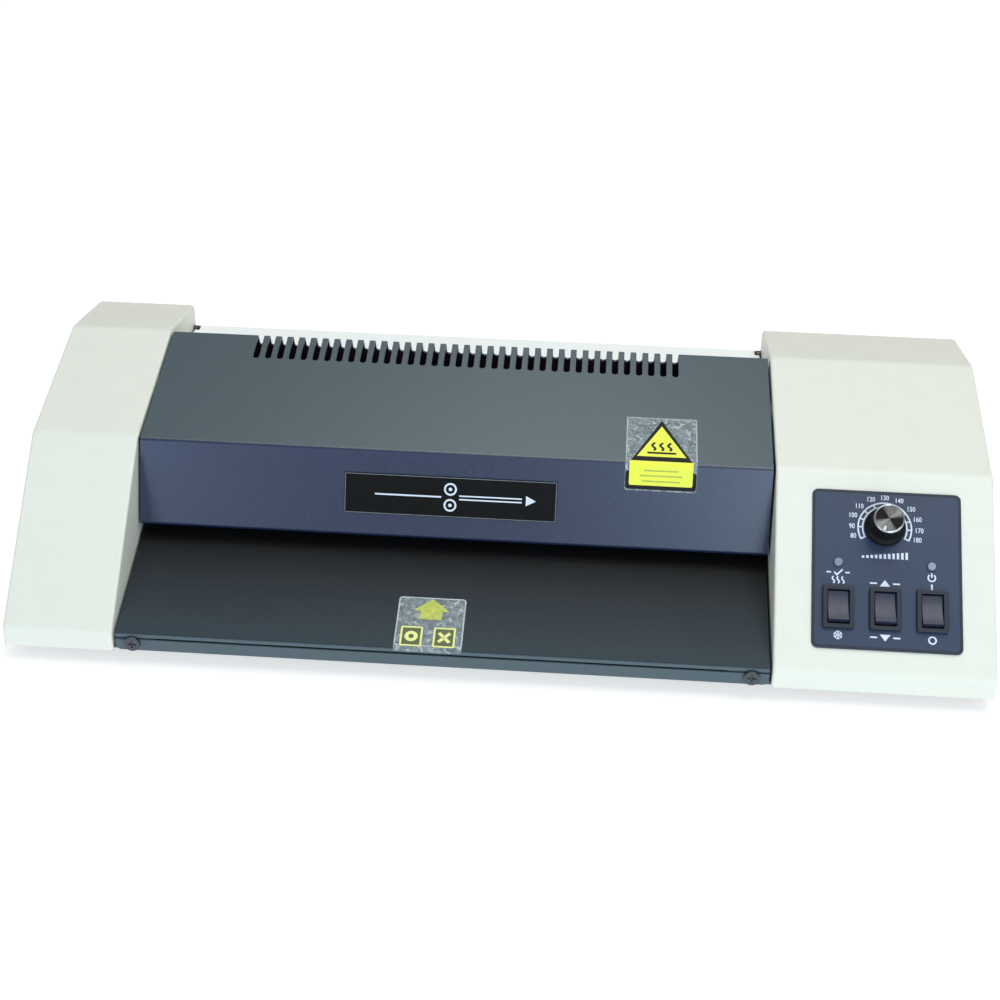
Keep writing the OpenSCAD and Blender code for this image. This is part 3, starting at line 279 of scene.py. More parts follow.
def make_materials():
    """The finish of each material slot and of the prints, by name."""
    steel = dict(metal=1.0, tint_scale=140)
    looks = {}

    def look(name, color, **settings):
        looks[name] = material(name, color, **settings)

    look("cap_plastic", srgb(222, 223, 211), rough=0.42, tint=0.012, grain=0.012, grain_scale=2600)
    # The cover's front face is painted darker and bluer than its top, by its normal: painted light, for the
    # different light that face and top reflect.
    look("cover_paint", srgb(50, 70, 77), rough=0.32, tint=0.05, tint_scale=700, grain=0.05,
         grain_scale=1800, flakes=((0.16, 0.19, 0.27), 0.2, 2600), coat_weight=0.3,
         coat_roughness=0.28, seconds=[(srgb(18, 32, 66), facing_front(-0.35, -0.8))])
    look("rear_paint", srgb(246, 250, 248), rough=0.45, tint=0.015, grain=0.02, grain_scale=1800)
    look("base_paint", srgb(68, 85, 92), rough=0.5, tint=0.05, tint_scale=600, grain=0.04,
         grain_scale=1800)
    # The tray is painted near black from 8 mm deep, fully so by 62 mm: a painted shadow of the cover in the
    # feed throat.
    look("tray_paint", srgb(44, 55, 63), rough=0.5, tint=0.06, tint_scale=700, grain=0.05,
         grain_scale=1800, flakes=((0.05, 0.06, 0.07), 0.2, 2600), specular_ior_level=0.2,
         # Its lip, facing the front, is painted lighter: a painted highlight on the bend.
         seconds=[(srgb(8, 9, 11), deeper_than(8, 62)), (srgb(84, 98, 106), facing_front(-0.75, -0.95))])
    look("plain_steel", (0.55, 0.56, 0.57), rough=0.32, brushed=(0.1, 1, 1), grain=0.01,
         grain_scale=900, **steel)
    look("nameplate_black", srgb(9, 9, 8), rough=0.4, tint=0.1, specular_ior_level=0.12,
         grain=0.006, grain_scale=900)
    look("panel_print", srgb(37, 54, 81), rough=0.4, tint=0.05, tint_scale=500, grain=0.02,
         grain_scale=2200)
    look("switch_black", srgb(18, 26, 42), rough=0.36, tint=0.08, grain=0.015, grain_scale=2500)
    look("rocker_black", srgb(41, 47, 66), rough=0.38, tint=0.08, grain=0.01, grain_scale=2500)
    look("knob_black", srgb(9, 9, 11), rough=0.5, specular_ior_level=0.2, tint=0.1, grain=0.012,
         grain_scale=2500)
    look("pot_blue", srgb(60, 92, 122), rough=0.4, grain=0.01)
    look("lamp_lens", srgb(112, 126, 146), rough=0.22, tint=0.05, grain=0.01, grain_scale=3000,
         coat_weight=0.6, coat_roughness=0.1)
    look("board_green", srgb(36, 92, 58), rough=0.4, tint=0.15, tint_scale=300, grain=0.02,
         grain_scale=900)
    look("component_black", srgb(30, 30, 33), rough=0.45, tint=0.1, grain=0.015, grain_scale=2000)
    look("frame_steel", (0.52, 0.54, 0.56), rough=0.36, brushed=(1, 1, 0.1), grain=0.01,
         grain_scale=800, **steel)
    look("silicone_red", srgb(150, 62, 40), rough=0.55, tint=0.06, tint_scale=200, grain=0.015,
         grain_scale=1800)
    look("gear_plastic", srgb(226, 222, 208), rough=0.4, tint=0.03, grain=0.01, grain_scale=1800)
    look("bush_bronze", (0.46, 0.3, 0.14), rough=0.38, grain=0.01, **steel)
    look("block_plastic", srgb(110, 82, 48), rough=0.5, tint=0.08, grain=0.015, grain_scale=1500)
    look("spring_steel", (0.6, 0.61, 0.62), rough=0.25, grain=0.006, **steel)
    look("shoe_aluminium", (0.72, 0.73, 0.74), rough=0.35, brushed=(0.08, 1, 1), grain=0.01,
         grain_scale=900, **steel)
    look("rod_steel", (0.3, 0.22, 0.17), rough=0.45, tint=0.15, grain=0.01, **steel)
    look("ceramic_white", srgb(226, 216, 198), rough=0.5, tint=0.03, grain=0.02, grain_scale=1500)
    look("sensor_brass", (0.62, 0.44, 0.18), rough=0.32, grain=0.006, **steel)
    look("pinion_brass", (0.62, 0.44, 0.18), rough=0.3, grain=0.006, **steel)
    look("motor_metal", (0.45, 0.46, 0.48), rough=0.4, brushed=(1, 1, 0.15), grain=0.012,
         grain_scale=700, **steel)
    look("foot_rubber", srgb(30, 31, 34), rough=0.75, tint=0.12, grain=0.04, grain_scale=1400)
    look("wire_red", srgb(150, 40, 34), rough=0.42, tint=0.05, grain=0.01)
    look("screw_metal", (0.085, 0.095, 0.11), rough=0.34, grain=0.008, **steel)
    # On the film, the light specks are painted highlights on its creases.
    look("film", srgb(150, 164, 168), rough=0.14, rough_spread=0.05, tint=0.4, tint_scale=330,
         grain=1.2, grain_scale=260, detail=6.0, alpha=0.44, flakes=((0.85, 0.92, 0.9), 0.9, 420))
    # A painted highlight along the stickers' cut edges.
    look("film_rim_highlight", srgb(196, 206, 212), rough=0.2, tint=0.2, tint_scale=400, grain=0.3,
         grain_scale=300, alpha=0.6)
    look("ink_white", srgb(214, 224, 238), rough=0.5, tint=0.02, grain=0.004)
    look("ink_yellow", srgb(232, 236, 60), rough=0.35, tint=0.03, grain=0.02, grain_scale=900)
    look("ink_olive", srgb(176, 186, 62), rough=0.35, tint=0.2, tint_scale=500, grain=0.2,
         grain_scale=420, detail=6.0)
    look("ink_dark_olive", srgb(74, 80, 34), rough=0.4, tint=0.2, tint_scale=500, grain=0.2,
         grain_scale=420)
    look("ink_cream", srgb(226, 232, 136), rough=0.35, tint=0.06, tint_scale=500, grain=0.1,
         grain_scale=420)
    look("ink_black", srgb(17, 18, 13), rough=0.5, tint=0.1, grain=0.01, specular_ior_level=0.2)
    # A painted highlight along the nameplate's edge.
    look("painted_edge_highlight", srgb(120, 126, 132), rough=0.3, tint=0.05, grain=0.004)
    look("edge_dark", srgb(22, 31, 46), rough=0.45, tint=0.05, grain=0.01)
    # The knob's spun face has two dark wedges painted in: a painted reflection.
    look("spun_black", (0.17, 0.175, 0.17), rough=0.24,
         seconds=[((0.012, 0.012, 0.012), painted_reflection_wedges(-25))], metal=1.0, tint=0.05, grain=0.003,
         grain_scale=900, anisotropic=0.92)
    look("knob_rim", (0.5, 0.51, 0.53), rough=0.22, metal=1.0, grain=0.002)
    look("pin_metal", (0.66, 0.62, 0.5), rough=0.28, metal=1.0, grain=0.006)
    looks["label_film"] = looks["film"]              # the slot that both stickers take it from
    spun = looks["spun_black"].node_tree             # its brushing runs round the knob's axis
    turn = spun.nodes.new("ShaderNodeTangent")
    turn.direction_type, turn.axis = "RADIAL", "Z"
    spun.links.new(turn.outputs["Tangent"], spun.nodes["Principled BSDF"].inputs["Tangent"])
    return looks


# ---------------------------------------------------------------- mesh helpers

MERGE = 2e-6                           # corners of a CAD mesh closer than this are one, metres
FLAT, SHARP = 0.4, 32                  # faces that meet at less are one face, at more an edge
SMOOTH_MADE, SMOOTH_BAKED = 35, 40     # angle up to which shading is smooth, degrees


def finish_mesh(name, bm, looks, body, stands_for=(), smooth=SMOOTH_MADE, matrix=None):
    """Turns a bmesh into a piece that rides on a body and may stand for CAD nodes."""
    bmesh.ops.recalc_face_normals(bm, faces=bm.faces)
    mesh = bpy.data.meshes.new(name)
    bm.to_mesh(mesh)
    bm.free()
    piece = bpy.data.objects.new(name, mesh)
    bpy.context.scene.collection.objects.link(piece)
    if matrix is not None:
        piece.matrix_world = matrix
    for look in looks:
        mesh.materials.append(look)
    mesh.shade_smooth()
    mesh.set_sharp_from_angle(angle=radians(smooth))
    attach(piece, body)
    if stands_for:
        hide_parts(*stands_for)
    return piece


def bake(piece):
    """Applies the piece's modifiers, then weights its normals so that flat faces stay flat."""
    graph = bpy.context.evaluated_depsgraph_get()
    graph.update()
    mesh = bpy.data.meshes.new_from_object(piece.evaluated_get(graph))
    piece.modifiers.clear()
    piece.data = mesh
    mesh.shade_smooth()
    mesh.set_sharp_from_angle(angle=radians(SMOOTH_BAKED))
    piece.modifiers.new("normals", "WEIGHTED_NORMAL").keep_sharp = True


def remake(node, rounding=0.25, size=None, segments=2, looks=None, pick=None):
    """Rebuilds a CAD node with its sharp edges rounded by so many millimetres.

    size(edge) gives an edge less than that, and pick(face) says which of looks a face has.
    """
    bm = bmesh.new()
    bm.from_mesh(nodes[node].data)
    bmesh.ops.remove_doubles(bm, verts=bm.verts, dist=MERGE)
    bmesh.ops.dissolve_limit(bm, angle_limit=radians(FLAT), verts=bm.verts, edges=bm.edges)
    weights = bm.edges.layers.float.new("bevel_weight_edge")
    for edge in bm.edges:
        if len(edge.link_faces) == 2 and edge.calc_face_angle(0) > radians(SHARP):
            edge[weights] = min(1, size(edge) / rounding) if size else 1
    if pick:
        for face in bm.faces:
            face.material_index = pick(face)
    slot = node_slot[node]
    piece = finish_mesh(node + "_finish", bm, looks or [LOOKS[slot]], node_body[node], [node])
    bevel = piece.modifiers.new("edges", "BEVEL")
    bevel.limit_method, bevel.width, bevel.segments = "WEIGHT", rounding * MM, segments
    bevel.use_clamp_overlap = False
    bevel.miter_outer = "MITER_ARC"
    bake(piece)


class Ink:
    """Flat printed shapes on a plane, each a thin closed solid. Lengths are in millimetres."""

    def __init__(self, plane_frame, lift, thick=0.03):
        self.bm, self.frame, self.lift, self.thick = bmesh.new(), plane_frame, lift, thick

    def solid(self, outline):
        """A prism over a closed outline."""
        under, over = ([self.bm.verts.new(self.frame @ Vector((x, y, z))) for x, y in outline]
                       for z in (self.lift, self.lift + self.thick))
        self.bm.faces.new(under[::-1])
        self.bm.faces.new(over)
        for i in range(len(outline)):
            j = (i + 1) % len(outline)
            self.bm.faces.new((under[i], under[j], over[j], over[i]))

    def line(self, points, width, closed=False):
        """A stroke of constant width along a path."""
        points = [Vector(point) for point in points]
        n = len(points)
        verts = []
        for i, point in enumerate(points):
            ways = []
            if i or closed:
                ways.append((point - points[i - 1]).normalized())
            if i < n - 1 or closed:
                ways.append((points[(i + 1) % n] - point).normalized())
            way = sum(ways, Vector((0, 0))).normalized()
            out = Vector((-way.y, way.x)) * (width / 2 / max(0.3, way.dot(ways[0])))
            verts.append([self.bm.verts.new(self.frame @ Vector((*side, height)))
                          for side in (point + out, point - out)
                          for height in (self.lift, self.lift + self.thick)])
        for i in range(n if closed else n - 1):
            a, b = verts[i], verts[(i + 1) % n]
            for k, m in ((0, 1), (1, 3), (3, 2), (2, 0)):
                self.bm.faces.new((a[k], b[k], b[m], a[m]))
        if not closed:
            for end in (verts[0], verts[-1]):
                self.bm.faces.new((end[0], end[1], end[3], end[2]))

    def arc(self, centre, radius, start, end, width, steps=24, closed=False):
        """An arc between two angles, measured anticlockwise from up the plane."""
        angles = (start + (end - start) * i / steps for i in range(steps + (not closed)))
        self.line([outward(centre, angle, radius) for angle in angles], width, closed)

    def ring(self, centre, radius, width):
        """A full circle as a stroke."""
        self.arc(centre, radius, 0, 360, width, closed=True)

    def disc(self, centre, radius, steps=24):
        """A filled circle."""
        turns = (2 * pi * i / steps for i in range(steps))
        self.solid([(centre[0] + radius * cos(a), centre[1] + radius * sin(a)) for a in turns])

    def figures(self, text, centre, height, squeeze=1.0):
        """Plain numerals in the built-in type, whose figures are 0.7 of its size high."""
        curve = bpy.data.curves.new("figures", "FONT")
        curve.body, curve.size = text, height / 0.7
        curve.align_x, curve.align_y = "CENTER", "CENTER"
        curve.extrude, curve.offset, curve.resolution_u = self.thick / 2, 0.045, 3
        holder = bpy.data.objects.new("figures", curve)
        bpy.context.scene.collection.objects.link(holder)
        graph = bpy.context.evaluated_depsgraph_get()
        graph.update()
        mesh = bpy.data.meshes.new_from_object(holder.evaluated_get(graph))
        mesh.transform(self.frame @ Matrix.Translation((*centre, self.lift + self.thick / 2))
                       @ Matrix.Diagonal((squeeze, 1, 1, 1)))
        self.bm.from_mesh(mesh)
        bpy.data.objects.remove(holder)

    def piece(self, name, look, slot, body="casing"):
        """Makes the shapes so far one piece on a body."""
        bmesh.ops.remove_doubles(self.bm, verts=self.bm.verts, dist=1e-7)
        finish_mesh(name, self.bm, [LOOKS[look]], body)


def outward(centre, angle, distance):
    """The point so far from centre, at an angle anticlockwise from up the plane."""
    a = radians(angle)
    return centre[0] - distance * sin(a), centre[1] + distance * cos(a)


def rounded_box(w, h, r, centre, steps=5):
    """Outline of a box with its corners rounded to radius r."""
    points = []
    for k, (sx, sy) in enumerate(((1, 1), (-1, 1), (-1, -1), (1, -1))):
        x, y = centre[0] + sx * (w / 2 - r), centre[1] + sy * (h / 2 - r)
        turns = (radians(90 * k + 90 * i / steps) for i in range(steps + 1))
        points += [(x + r * cos(a), y + r * sin(a)) for a in turns]
    return points


# ---------------------------------------------------------------- casing

CAP_ROUND, SMALL_ROUND = 1.4, 0.25     # rounding of the caps' side outlines and of their other edges


def on_outline(point):
    """True for a point on the outer surface of an end cap's side outline."""
    depth, height = (point.y - FRONT) / MM, (point.z - UNDER) / MM
    if depth < 0.2 or depth > CAP_DEPTH - 0.2:
        return True
    if depth < SLOPE_END[0]:
        return height > SLOPE_Z + depth * tan(radians(SLOPE)) - 1.2
    return height > SLOPE_END[1]


def cap_edges(lo, hi):
    """Rounding of an end cap's edges: generous along its side outlines, slight elsewhere."""
    def size(edge):
        a, b = (vert.co for vert in edge.verts)
        at_side = any(max(abs(a.x - x), abs(b.x - x)) < 1e-5 for x in (lo.x, hi.x))
        beside_flat = any(abs(face.normal.x) > 0.99 for face in edge.link_faces)
        low = max(a.z, b.z) < UNDER + 2 * MM
        if at_side and beside_flat and not low and on_outline(a) and on_outline(b):
            return CAP_ROUND
        return SMALL_ROUND
    return size


def make_casing():
    for node in ("left_end_cap", "right_end_cap"):
        remake(node, CAP_ROUND, cap_edges(*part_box(node)), segments=4)
    for node in ("rear_panel", "base_pan", "feed_tray", "top_cover", "transfer_guide", "exit_guide"):
        remake(node, 0.2)


# ---------------------------------------------------------------- nameplate and stickers

PLATE_X, PLATE_UP = -27.0, 24.3        # middle of the nameplate, across and up the cover's face
PLATE_W, PLATE_H, PLATE_THICK = 107.0, 20.8, 0.8
LABEL_X, LABEL_HALF = 77.5, 17.9       # sticker over the bend of the cover: middle, half its width
LAYERS = (0.142, 0.172, 0.202)         # heights of the prints on a sticker, one over the other
RIM_LIFT, RIM_THICK = 0.14, 0.02
FEED_X, FEED_HALF = -31.95, 16.75      # sticker on the feed tray
COVER_R, TRAY_R = 2.0, 1.8             # radius in which a sticker follows a bend
BEND_STEPS = 6


def heat_lines(ink, x, low, spacing, sway, rise, points, width):
    """Three wavy lines side by side, as over something hot."""
    for offset in (-spacing, 0, spacing):
        ink.line([(x + offset + sway * sin(i * 0.9), low + rise * i) for i in range(points)], width)


def make_nameplate():
    """The plate, with a plain mark: a sheet goes in between two rollers and comes out coated."""
    remake("nameplate", segments=3)
    # A thin light line just inside the plate's edge: a painted highlight along it.
    edge_highlight = Ink(face_plane, PLATE_THICK)
    outline = rounded_box(PLATE_W - 0.9, PLATE_H - 0.9, 0.5, (PLATE_X, PLATE_UP))
    edge_highlight.line(outline, 0.3, closed=True)
    edge_highlight.piece("nameplate_edge_highlight", "painted_edge_highlight", "nameplate_black")

    mark = Ink(face_plane, PLATE_THICK)
    roller_up, skin, gap, reach, tip = 4.1, 0.9, 4.5, 38, 43
    for side in (-1, 1):
        roller, level = (PLATE_X, PLATE_UP + side * roller_up), PLATE_UP + side * skin
        mark.ring(roller, 2.8, 0.9)
        mark.disc(roller, 0.9)
        mark.line([(PLATE_X + gap, level), (PLATE_X + reach - 2, level)], 0.7)
    mark.line([(PLATE_X - reach, PLATE_UP), (PLATE_X - gap, PLATE_UP)], 0.8)
    mark.solid([(PLATE_X + reach, PLATE_UP + 2.6), (PLATE_X + reach, PLATE_UP - 2.6),
                (PLATE_X + tip, PLATE_UP)])
    mark.piece("nameplate_mark", "ink_white", "nameplate_black")


def make_sticker(name, route, half, centre_x, corner, stands_for=(), look="film",
                 lift=(0.005, 0.095), crease=0.045):
    """A slightly creased film along a route of (depth, height, normal angle) points.

    half is half its width, corner its corners' radius, and lift the heights of its two faces.
    """
    columns, crease_scale, crease_row = 26, 0.55, 3.1
    lengths = [0.0]
    for (y0, z0, _), (y1, z1, _) in zip(route, route[1:]):
        lengths.append(lengths[-1] + sqrt((y1 - y0) ** 2 + (z1 - z0) ** 2))
    bm = bmesh.new()
    rows = []
    for (y, z, angle), along in zip(route, lengths):
        end = min(along, lengths[-1] - along)
        reach = half
        if end < corner:
            reach -= corner - sqrt(max(0, corner ** 2 - (corner - end) ** 2))
        out_y, out_z = -sin(radians(angle)), cos(radians(angle))
        row = []
        for i in range(columns + 1):
            x = centre_x + reach * (2 * i / columns - 1)
            wave = noise.noise(Vector((x * crease_scale, along * crease_scale, crease_row)))
            row.append([bm.verts.new(place(x, y + out_y * out, z + out_z * out))
                        for out in (lift[0], lift[1] + crease * wave)])
        rows.append(row)
    for a, b in zip(rows, rows[1:]):
        for i in range(columns):
            bm.faces.new((a[i][1], a[i + 1][1], b[i + 1][1], b[i][1]))
            bm.faces.new((a[i][0], b[i][0], b[i + 1][0], a[i + 1][0]))
    for row in (rows[0], rows[-1]):
        for i in range(columns):
            bm.faces.new((row[i][0], row[i + 1][0], row[i + 1][1], row[i][1]))
    for k in (0, -1):
        for a, b in zip(rows, rows[1:]):
            bm.faces.new((a[k][0], a[k][1], b[k][1], b[k][0]))
    finish_mesh(name, bm, [LOOKS[look]], "casing", stands_for, smooth=60)


def make_rim(name, plane_frame, outline, width, closed=False):
    """The cut edge of a sticker, with a painted highlight along it."""
    rim = Ink(plane_frame, RIM_LIFT, RIM_THICK)
    rim.line(outline, width, closed)
    rim.piece(name, "film_rim_highlight", "label_film")


def over_bend(below, above):
    """Route over the bend of the cover, from below it on the face to above it on the top."""
    down, back = radians(FACE_ANGLE), radians(TOP_ANGLE)
    cut = COVER_R * tan((down - back) / 2)
    below_steps, above_steps = 12, 30
    route = []
    for i in range(below_steps + 1):
        d = below - (below - cut) * i / below_steps
        route.append((BEND[0] - cos(down) * d, BEND[1] - sin(down) * d, FACE_ANGLE))
    hub_y, hub_z = route[-1][0] + sin(down) * COVER_R, route[-1][1] - cos(down) * COVER_R
    for i in range(1, BEND_STEPS + 1):
        a = down + (back - down) * i / BEND_STEPS
        route.append((hub_y - sin(a) * COVER_R, hub_z + cos(a) * COVER_R, degrees(a)))
    for i in range(1, above_steps + 1):
        d = cut + (above - cut) * i / above_steps
        route.append((BEND[0] + cos(back) * d, BEND[1] + sin(back) * d, TOP_ANGLE))
    return route


def make_cover_label():
    """The hot-surface sticker: a triangle on the cover's top, a bar with blank rules on its face."""
    make_sticker("cover_label_film", over_bend(14.1, 34.9), LABEL_HALF - 0.05, LABEL_X, 0.6, ["labels"])
    rim, rim_low, rim_high = LABEL_HALF - 0.4, 2, 34.5
    make_rim("cover_label_rim", top_plane, [(LABEL_X - rim, rim_low), (LABEL_X - rim, rim_high),
                                            (LABEL_X + rim, rim_high), (LABEL_X + rim, rim_low)], 0.55)

    for name, look, lift, base, tip, half in (
            ("cover_label_edge", "ink_black", LAYERS[0], 1.6, 32.9, 15.3),
            ("cover_label_triangle", "ink_yellow", LAYERS[1], 5.0, 28.4, 12.3)):
        triangle = Ink(top_plane, lift)
        triangle.solid([(LABEL_X - half, base), (LABEL_X + half, base), (LABEL_X, tip)])
        triangle.piece(name, look, "label_film")
    symbol = Ink(top_plane, LAYERS[2])
    heat_lines(symbol, LABEL_X, 9.6, 4.0, 0.8, 0.75, 9, 1.2)
    symbol.line([(LABEL_X - 7.2, 7.8), (LABEL_X + 7.2, 7.8)], 1.4)
    symbol.piece("cover_label_symbol", "ink_black", "label_film")

    face_length = (BEND[1] - THROAT[1]) / sin(radians(FACE_ANGLE))
    low, high = face_length - 13.3, face_length - 4
    back = Ink(face_plane, LAYERS[0])
    back.solid(rounded_box(2 * (LABEL_HALF - 0.3), high - low, 1.4, (LABEL_X, (low + high) / 2)))
    back.piece("cover_label_frame", "ink_black", "label_film")
    make_sticker("cover_label_bar", over_bend(11.3, 1.5), 15.8, LABEL_X, 0.4, look="ink_yellow",
                 lift=(0.15, 0.2), crease=0.01)
    rules = Ink(face_plane, 0.205, 0.015)
    for up, reach in ((4.2, 9.5), (7.0, 10.5), (9.6, 8.5)):
        rules.line([(LABEL_X - reach, low + up), (LABEL_X + reach, low + up)], 0.8)
    rules.piece("cover_label_rules", "ink_olive", "label_film")


def tray_route(low, length):
    """Route over the front edge of the tray, from a height on its lip to a length up its slope."""
    rise = atan2(TRAY_RISE, 1)
    cut = TRAY_R * tan((pi / 2 - rise) / 2)
    edge_z = TRAY[1] + TRAY_RISE * TRAY_EDGE
    lip_steps, slope_steps = 3, 32
    route = [(TRAY_EDGE, low + (edge_z - cut - low) * i / lip_steps, 90) for i in range(lip_steps + 1)]
    for i in range(1, BEND_STEPS + 1):
        a = pi / 2 + (rise - pi / 2) * i / BEND_STEPS
        route.append((TRAY_EDGE + TRAY_R - sin(a) * TRAY_R, edge_z - cut + cos(a) * TRAY_R, degrees(a)))
    for i in range(1, slope_steps + 1):
        d = cut + (length - cut) * i / slope_steps
        route.append((TRAY_EDGE + cos(rise) * d, edge_z + sin(rise) * d, degrees(rise)))
    return route


def make_feed_label():
    """The sticker on the feed tray, round its front edge: which way in, a right and a wrong way."""
    make_sticker("feed_label_film", tray_route(7.95, 33.4), FEED_HALF - 0.1, FEED_X, 1.6)
    outline = rounded_box(2 * FEED_HALF - 0.9, 30.6, 1.4, (FEED_X, 19.8))
    make_rim("feed_label_rim", tray_plane, outline, 0.7, closed=True)

    arrow = Ink(tray_plane, LAYERS[0])
    x, tip, barb, tail, wide, narrow = FEED_X, 34.6, 26.7, 21.3, 9, 5.4
    arrow.solid([(x, tip), (x - wide, barb), (x + wide, barb)])
    arrow.solid([(x - narrow, barb), (x - narrow, tail), (x + narrow, tail), (x + narrow, barb)])
    arrow.piece("feed_label_arrow", "ink_olive", "label_film")

    ring_x, cross_x, mid = FEED_X - 8.5, FEED_X + 7.6, 10.2
    outlines = [rounded_box(9.8, 11.6, 0.6, (x, mid)) for x in (ring_x, cross_x)]
    boxes = Ink(tray_plane, LAYERS[0], 0.015)
    for outline in outlines:
        boxes.solid(outline)
    boxes.piece("feed_label_boxes", "ink_dark_olive", "label_film")
    marks = Ink(tray_plane, 0.16)
    for outline in outlines:
        marks.line(outline, 0.9, closed=True)
    marks.ring((ring_x, mid), 2.3, 1.9)
    for way in (-1, 1):
        marks.line([(cross_x - 2.7, mid - 2.9 * way), (cross_x + 2.7, mid + 2.9 * way)], 1.7)
    marks.piece("feed_label_marks", "ink_cream", "label_film")


# ---------------------------------------------------------------- controls
# Places on the panel are lengths up the caps' front slope.

KNOB_S, PANEL_LOW, PANEL_LENGTH, PANEL_TOP = 74.0, 11.9, 80.6, 0.8
KNOB_MARK = 157                        # degrees anticlockwise from up, with the knob at rest
DIAL_ANGLES = (107, 89, 69, 49, 25, 0, -26, -51, -72, -92, -109)      # of the figures, low to high


def lathe(name, profile, steps, looks, body, stands_for, hub, ripple, pick):
    """A turned part from (radius, height) points, in millimetres, about the axis of hub.

    ripple moves a point in, by angle, radius and height; pick gives each stretch of the profile
    one of looks.
    """
    bm = bmesh.new()
    rings = []
    for r, z in profile:
        turns = [2 * pi * i / steps for i in range(steps)] if r else [0]
        ring = []
        for a in turns:
            q = r - ripple(a, r, z)
            ring.append(bm.verts.new((q * cos(a), q * sin(a), z)))
        rings.append(ring)
    for k, (a, b) in enumerate(zip(rings, rings[1:])):
        for i in range(steps):
            j = (i + 1) % steps
            if len(a) == 1:
                face = bm.faces.new((a[0], b[i], b[j]))
            elif len(b) == 1:
                face = bm.faces.new((a[i], a[j], b[0]))
            else:
                face = bm.faces.new((a[i], a[j], b[j], b[i]))
            face.material_index = pick(k)
    bmesh.ops.transform(bm, matrix=Matrix.Scale(MM, 4), verts=bm.verts)
    turned = Matrix.Translation(hub.translation) @ hub.to_3x3().normalized().to_4x4()
    finish_mesh(name, bm, looks, body, stands_for, smooth=38, matrix=turned)


def make_knob():
    hub = slope_plane @ Matrix.Translation((middle_x("temperature_knob"), KNOB_S, 0))
    bore = [(0, 12), (3.02, 12), (3.02, 4.3), (6.4, 4.3), (6.4, 1.3)]
    skirt = [(9.55, 1.3), (9.75, 1.5), (9.75, 3.0), (9.6, 3.35), (9.2, 3.75), (8.6, 4.3),
             (8.0, 4.9), (7.75, 5.5)]
    grip = [(7.74, 6.2), (7.72, 6.3), (7.52, 13.2), (7.5, 13.3)]
    rim = [(7.47, 14.3), (7.3, 14.75), (6.98, 15.05), (6.8, 15.1), (6.6, 15.0)]
    face = [(6.55, 14.85), (4.5, 14.83), (2.2, 14.81), (0, 14.8)]
    rim_start = len(bore + skirt + grip)
    face_start = rim_start + len(rim) - 1
    flute_low, flute_high, flutes, flute_depth = 6.25, 13.25, 40, 0.3

    def ripple(a, r, z):
        if r > 7 and flute_low < z < flute_high:
            return flute_depth * (0.5 + 0.5 * cos(flutes * a)) ** 2
        return 0

    def look_of(stretch):
        return 0 if stretch < rim_start else 2 if stretch < face_start else 1

    lathe("knob", bore + skirt + grip + rim + face, 320,
          [LOOKS["knob_black"], LOOKS["spun_black"], LOOKS["knob_rim"]],
          "temperature_knob", ["temperature_knob"], hub, ripple, look_of)

    mark = Ink(hub, 14.86, 0.12)
    a = radians(KNOB_MARK)
    way, side = Vector((-sin(a), cos(a))), Vector((cos(a), sin(a)))
    corners = ((4.2, -0.3), (6.5, -0.65), (6.5, 0.65), (4.2, 0.3))
    mark.solid([way * out + side * across for out, across in corners])
    mark.piece("knob_mark", "ink_white", "knob_black", "temperature_knob")


def draw_dial(ink, hub):
    """A ring of boxes with a figure at each, from 80 at the low stop to 180 at the high stop."""
    outer, inner, last, line = 12.9, 10.7, 117, 0.72
    for radius in (outer, inner):
        ink.arc(hub, radius, -last, last, line, steps=56)
    for i, angle in enumerate(DIAL_ANGLES):
        if abs(angle) < 100:
            ink.line([outward(hub, angle, inner), outward(hub, angle, outer)], line)
        text = str(80 + 10 * i)
        far = 15.5 + (1.1 if len(text) > 2 else 0.4) * abs(sin(radians(angle)))
        ink.figures(text, outward(hub, angle, far), 2.45, 0.82)
    for angle in (-last, last):
        ends = (inner - line / 2, outer + line / 2)
        ink.line([outward(hub, angle, end) for end in ends], line)


def draw_dashes(ink, x, s, near, far, width):
    """A short dash to the left and one to the right of a symbol."""
    for side in (-1, 1):
        ink.line([(x + side * near, s), (x + side * far, s)], width)


def draw_snowflake(ink, hub, arm=2.2, fork=1.1, barb=0.8):
    """Three crossed strokes with a small fork at both ends of each."""
    for turn in (0, 60, 120):
        a = radians(turn)
        way, side = Vector((sin(a), cos(a))), Vector((cos(a), -sin(a)))
        ink.line([hub - way * arm, hub + way * arm], 0.55)
        for end in (-1, 1):
            tip = hub + way * fork * end
            ink.line([tip + way * barb * end + side * barb, tip, tip + way * barb * end - side * barb], 0.4)


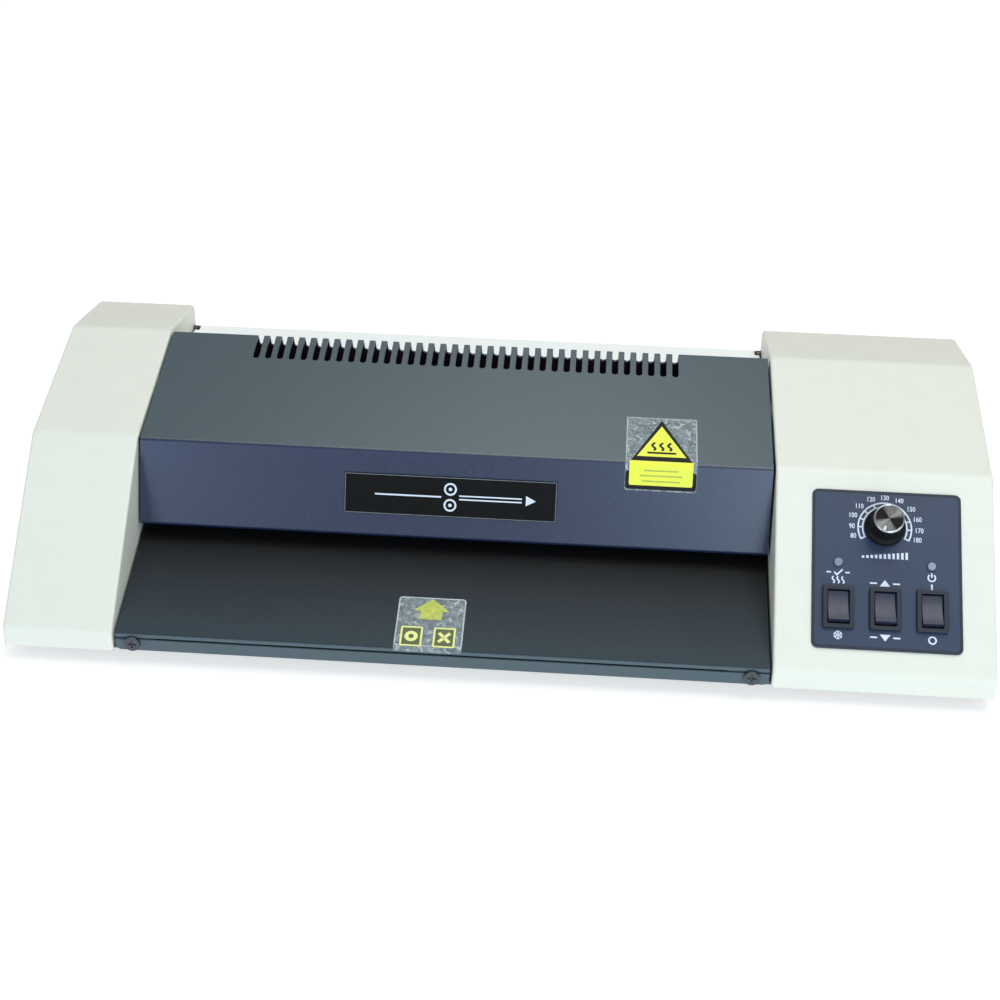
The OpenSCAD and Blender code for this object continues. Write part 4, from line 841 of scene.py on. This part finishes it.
def draw_symbols(ink, columns):
    """Plain symbols for the switches and lamps: heat and cold, in and out, on and off."""
    left, mid, right = columns
    level, half = 58.0, 0.6
    for i in range(11):                 # rising level under the dial
        x, top = mid - 10.5 + 2.1 * i, level + 1.1 + 0.25 * i
        ink.solid([(x - half, level), (x + half, level), (x + half, top), (x - half, top)])
    ink.line([(left - 1.9, 50.1), (left - 0.6, 48.7), (left + 2.1, 51.5)], 0.75)      # ready
    draw_dashes(ink, left, 50, 3.4, 5.6, 0.7)
    heat_lines(ink, left, 44.4, 2.3, 0.55, 0.5, 8, 0.7)
    for s, way in ((45.4, 1), (18.4, -1)):              # forward and reverse
        ink.solid([(mid - 2.6, s - 1.5 * way), (mid + 2.6, s - 1.5 * way), (mid, s + 1.8 * way)])
        draw_dashes(ink, mid, s, 3.8, 7.2, 0.75)
    draw_snowflake(ink, Vector((left, 18.6)))
    ink.arc((right, 49.5), 1.75, 35, 325, 0.7)          # power
    ink.line([(right, 49.6), (right, 51.9)], 0.7)
    ink.line([(right, 43.4), (right, 46.2)], 0.9)       # on and off
    ink.ring((right, 18.3), 1.7, 0.75)


def make_controls():
    remake("control_panel", 0.2)
    lo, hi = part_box("control_panel")
    inset = 1.8
    outline = rounded_box((hi.x - lo.x) / MM - inset, PANEL_LENGTH - inset, 2.2,
                          (middle_x("control_panel"), PANEL_LOW + PANEL_LENGTH / 2))
    edge = Ink(slope_plane, PANEL_TOP)
    edge.line(outline, 1.3, closed=True)
    edge.piece("panel_edge", "edge_dark", "panel_print")
    columns = [middle_x(switch + "_switch_body") for switch in SWITCHES]
    marks = Ink(slope_plane, PANEL_TOP)
    draw_dial(marks, (columns[1], KNOB_S - 0.4))
    draw_symbols(marks, columns)
    marks.piece("panel_marks", "ink_white", "panel_print")
    make_knob()
    for switch in SWITCHES:
        remake(switch + "_switch_body", 0.35, segments=3)
    for switch in SWITCHES:
        remake(switch + "_rocker", 0.3, segments=3)
    for node in ("ready_lamp", "power_lamp"):
        remake(node, 0.05)


# ---------------------------------------------------------------- fittings

def make_fittings():
    remake("visible_screws", 0.15)
    remake("rubber_feet", 0.5, segments=3)
    lo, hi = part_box("inlet_socket")
    mid = (lo + hi) / 2
    well_floor, well_mouth = hi.y - 14 * MM, hi.y - 1.9 * MM

    def is_blade(face):
        """True for the faces of the three contact blades, which stand inside the well."""
        spot = face.calc_center_median()
        inside = abs(spot.x - mid.x) < 8.2 * MM and -4.2 * MM < spot.z - mid.z < 5.2 * MM
        return inside and well_floor < spot.y < well_mouth
    remake("inlet_socket", 0.3, looks=[LOOKS["switch_black"], LOOKS["pin_metal"]],
           pick=lambda face: int(is_blade(face)))


LOOKS = make_materials()
make_camera()
make_studio()
make_casing()
make_nameplate()
make_cover_label()
make_feed_label()
make_controls()
make_fittings()
for name, node in nodes.items():
    if not node.hide_render:
        for holder in node.material_slots:
            holder.material = LOOKS[node_slot[name]]
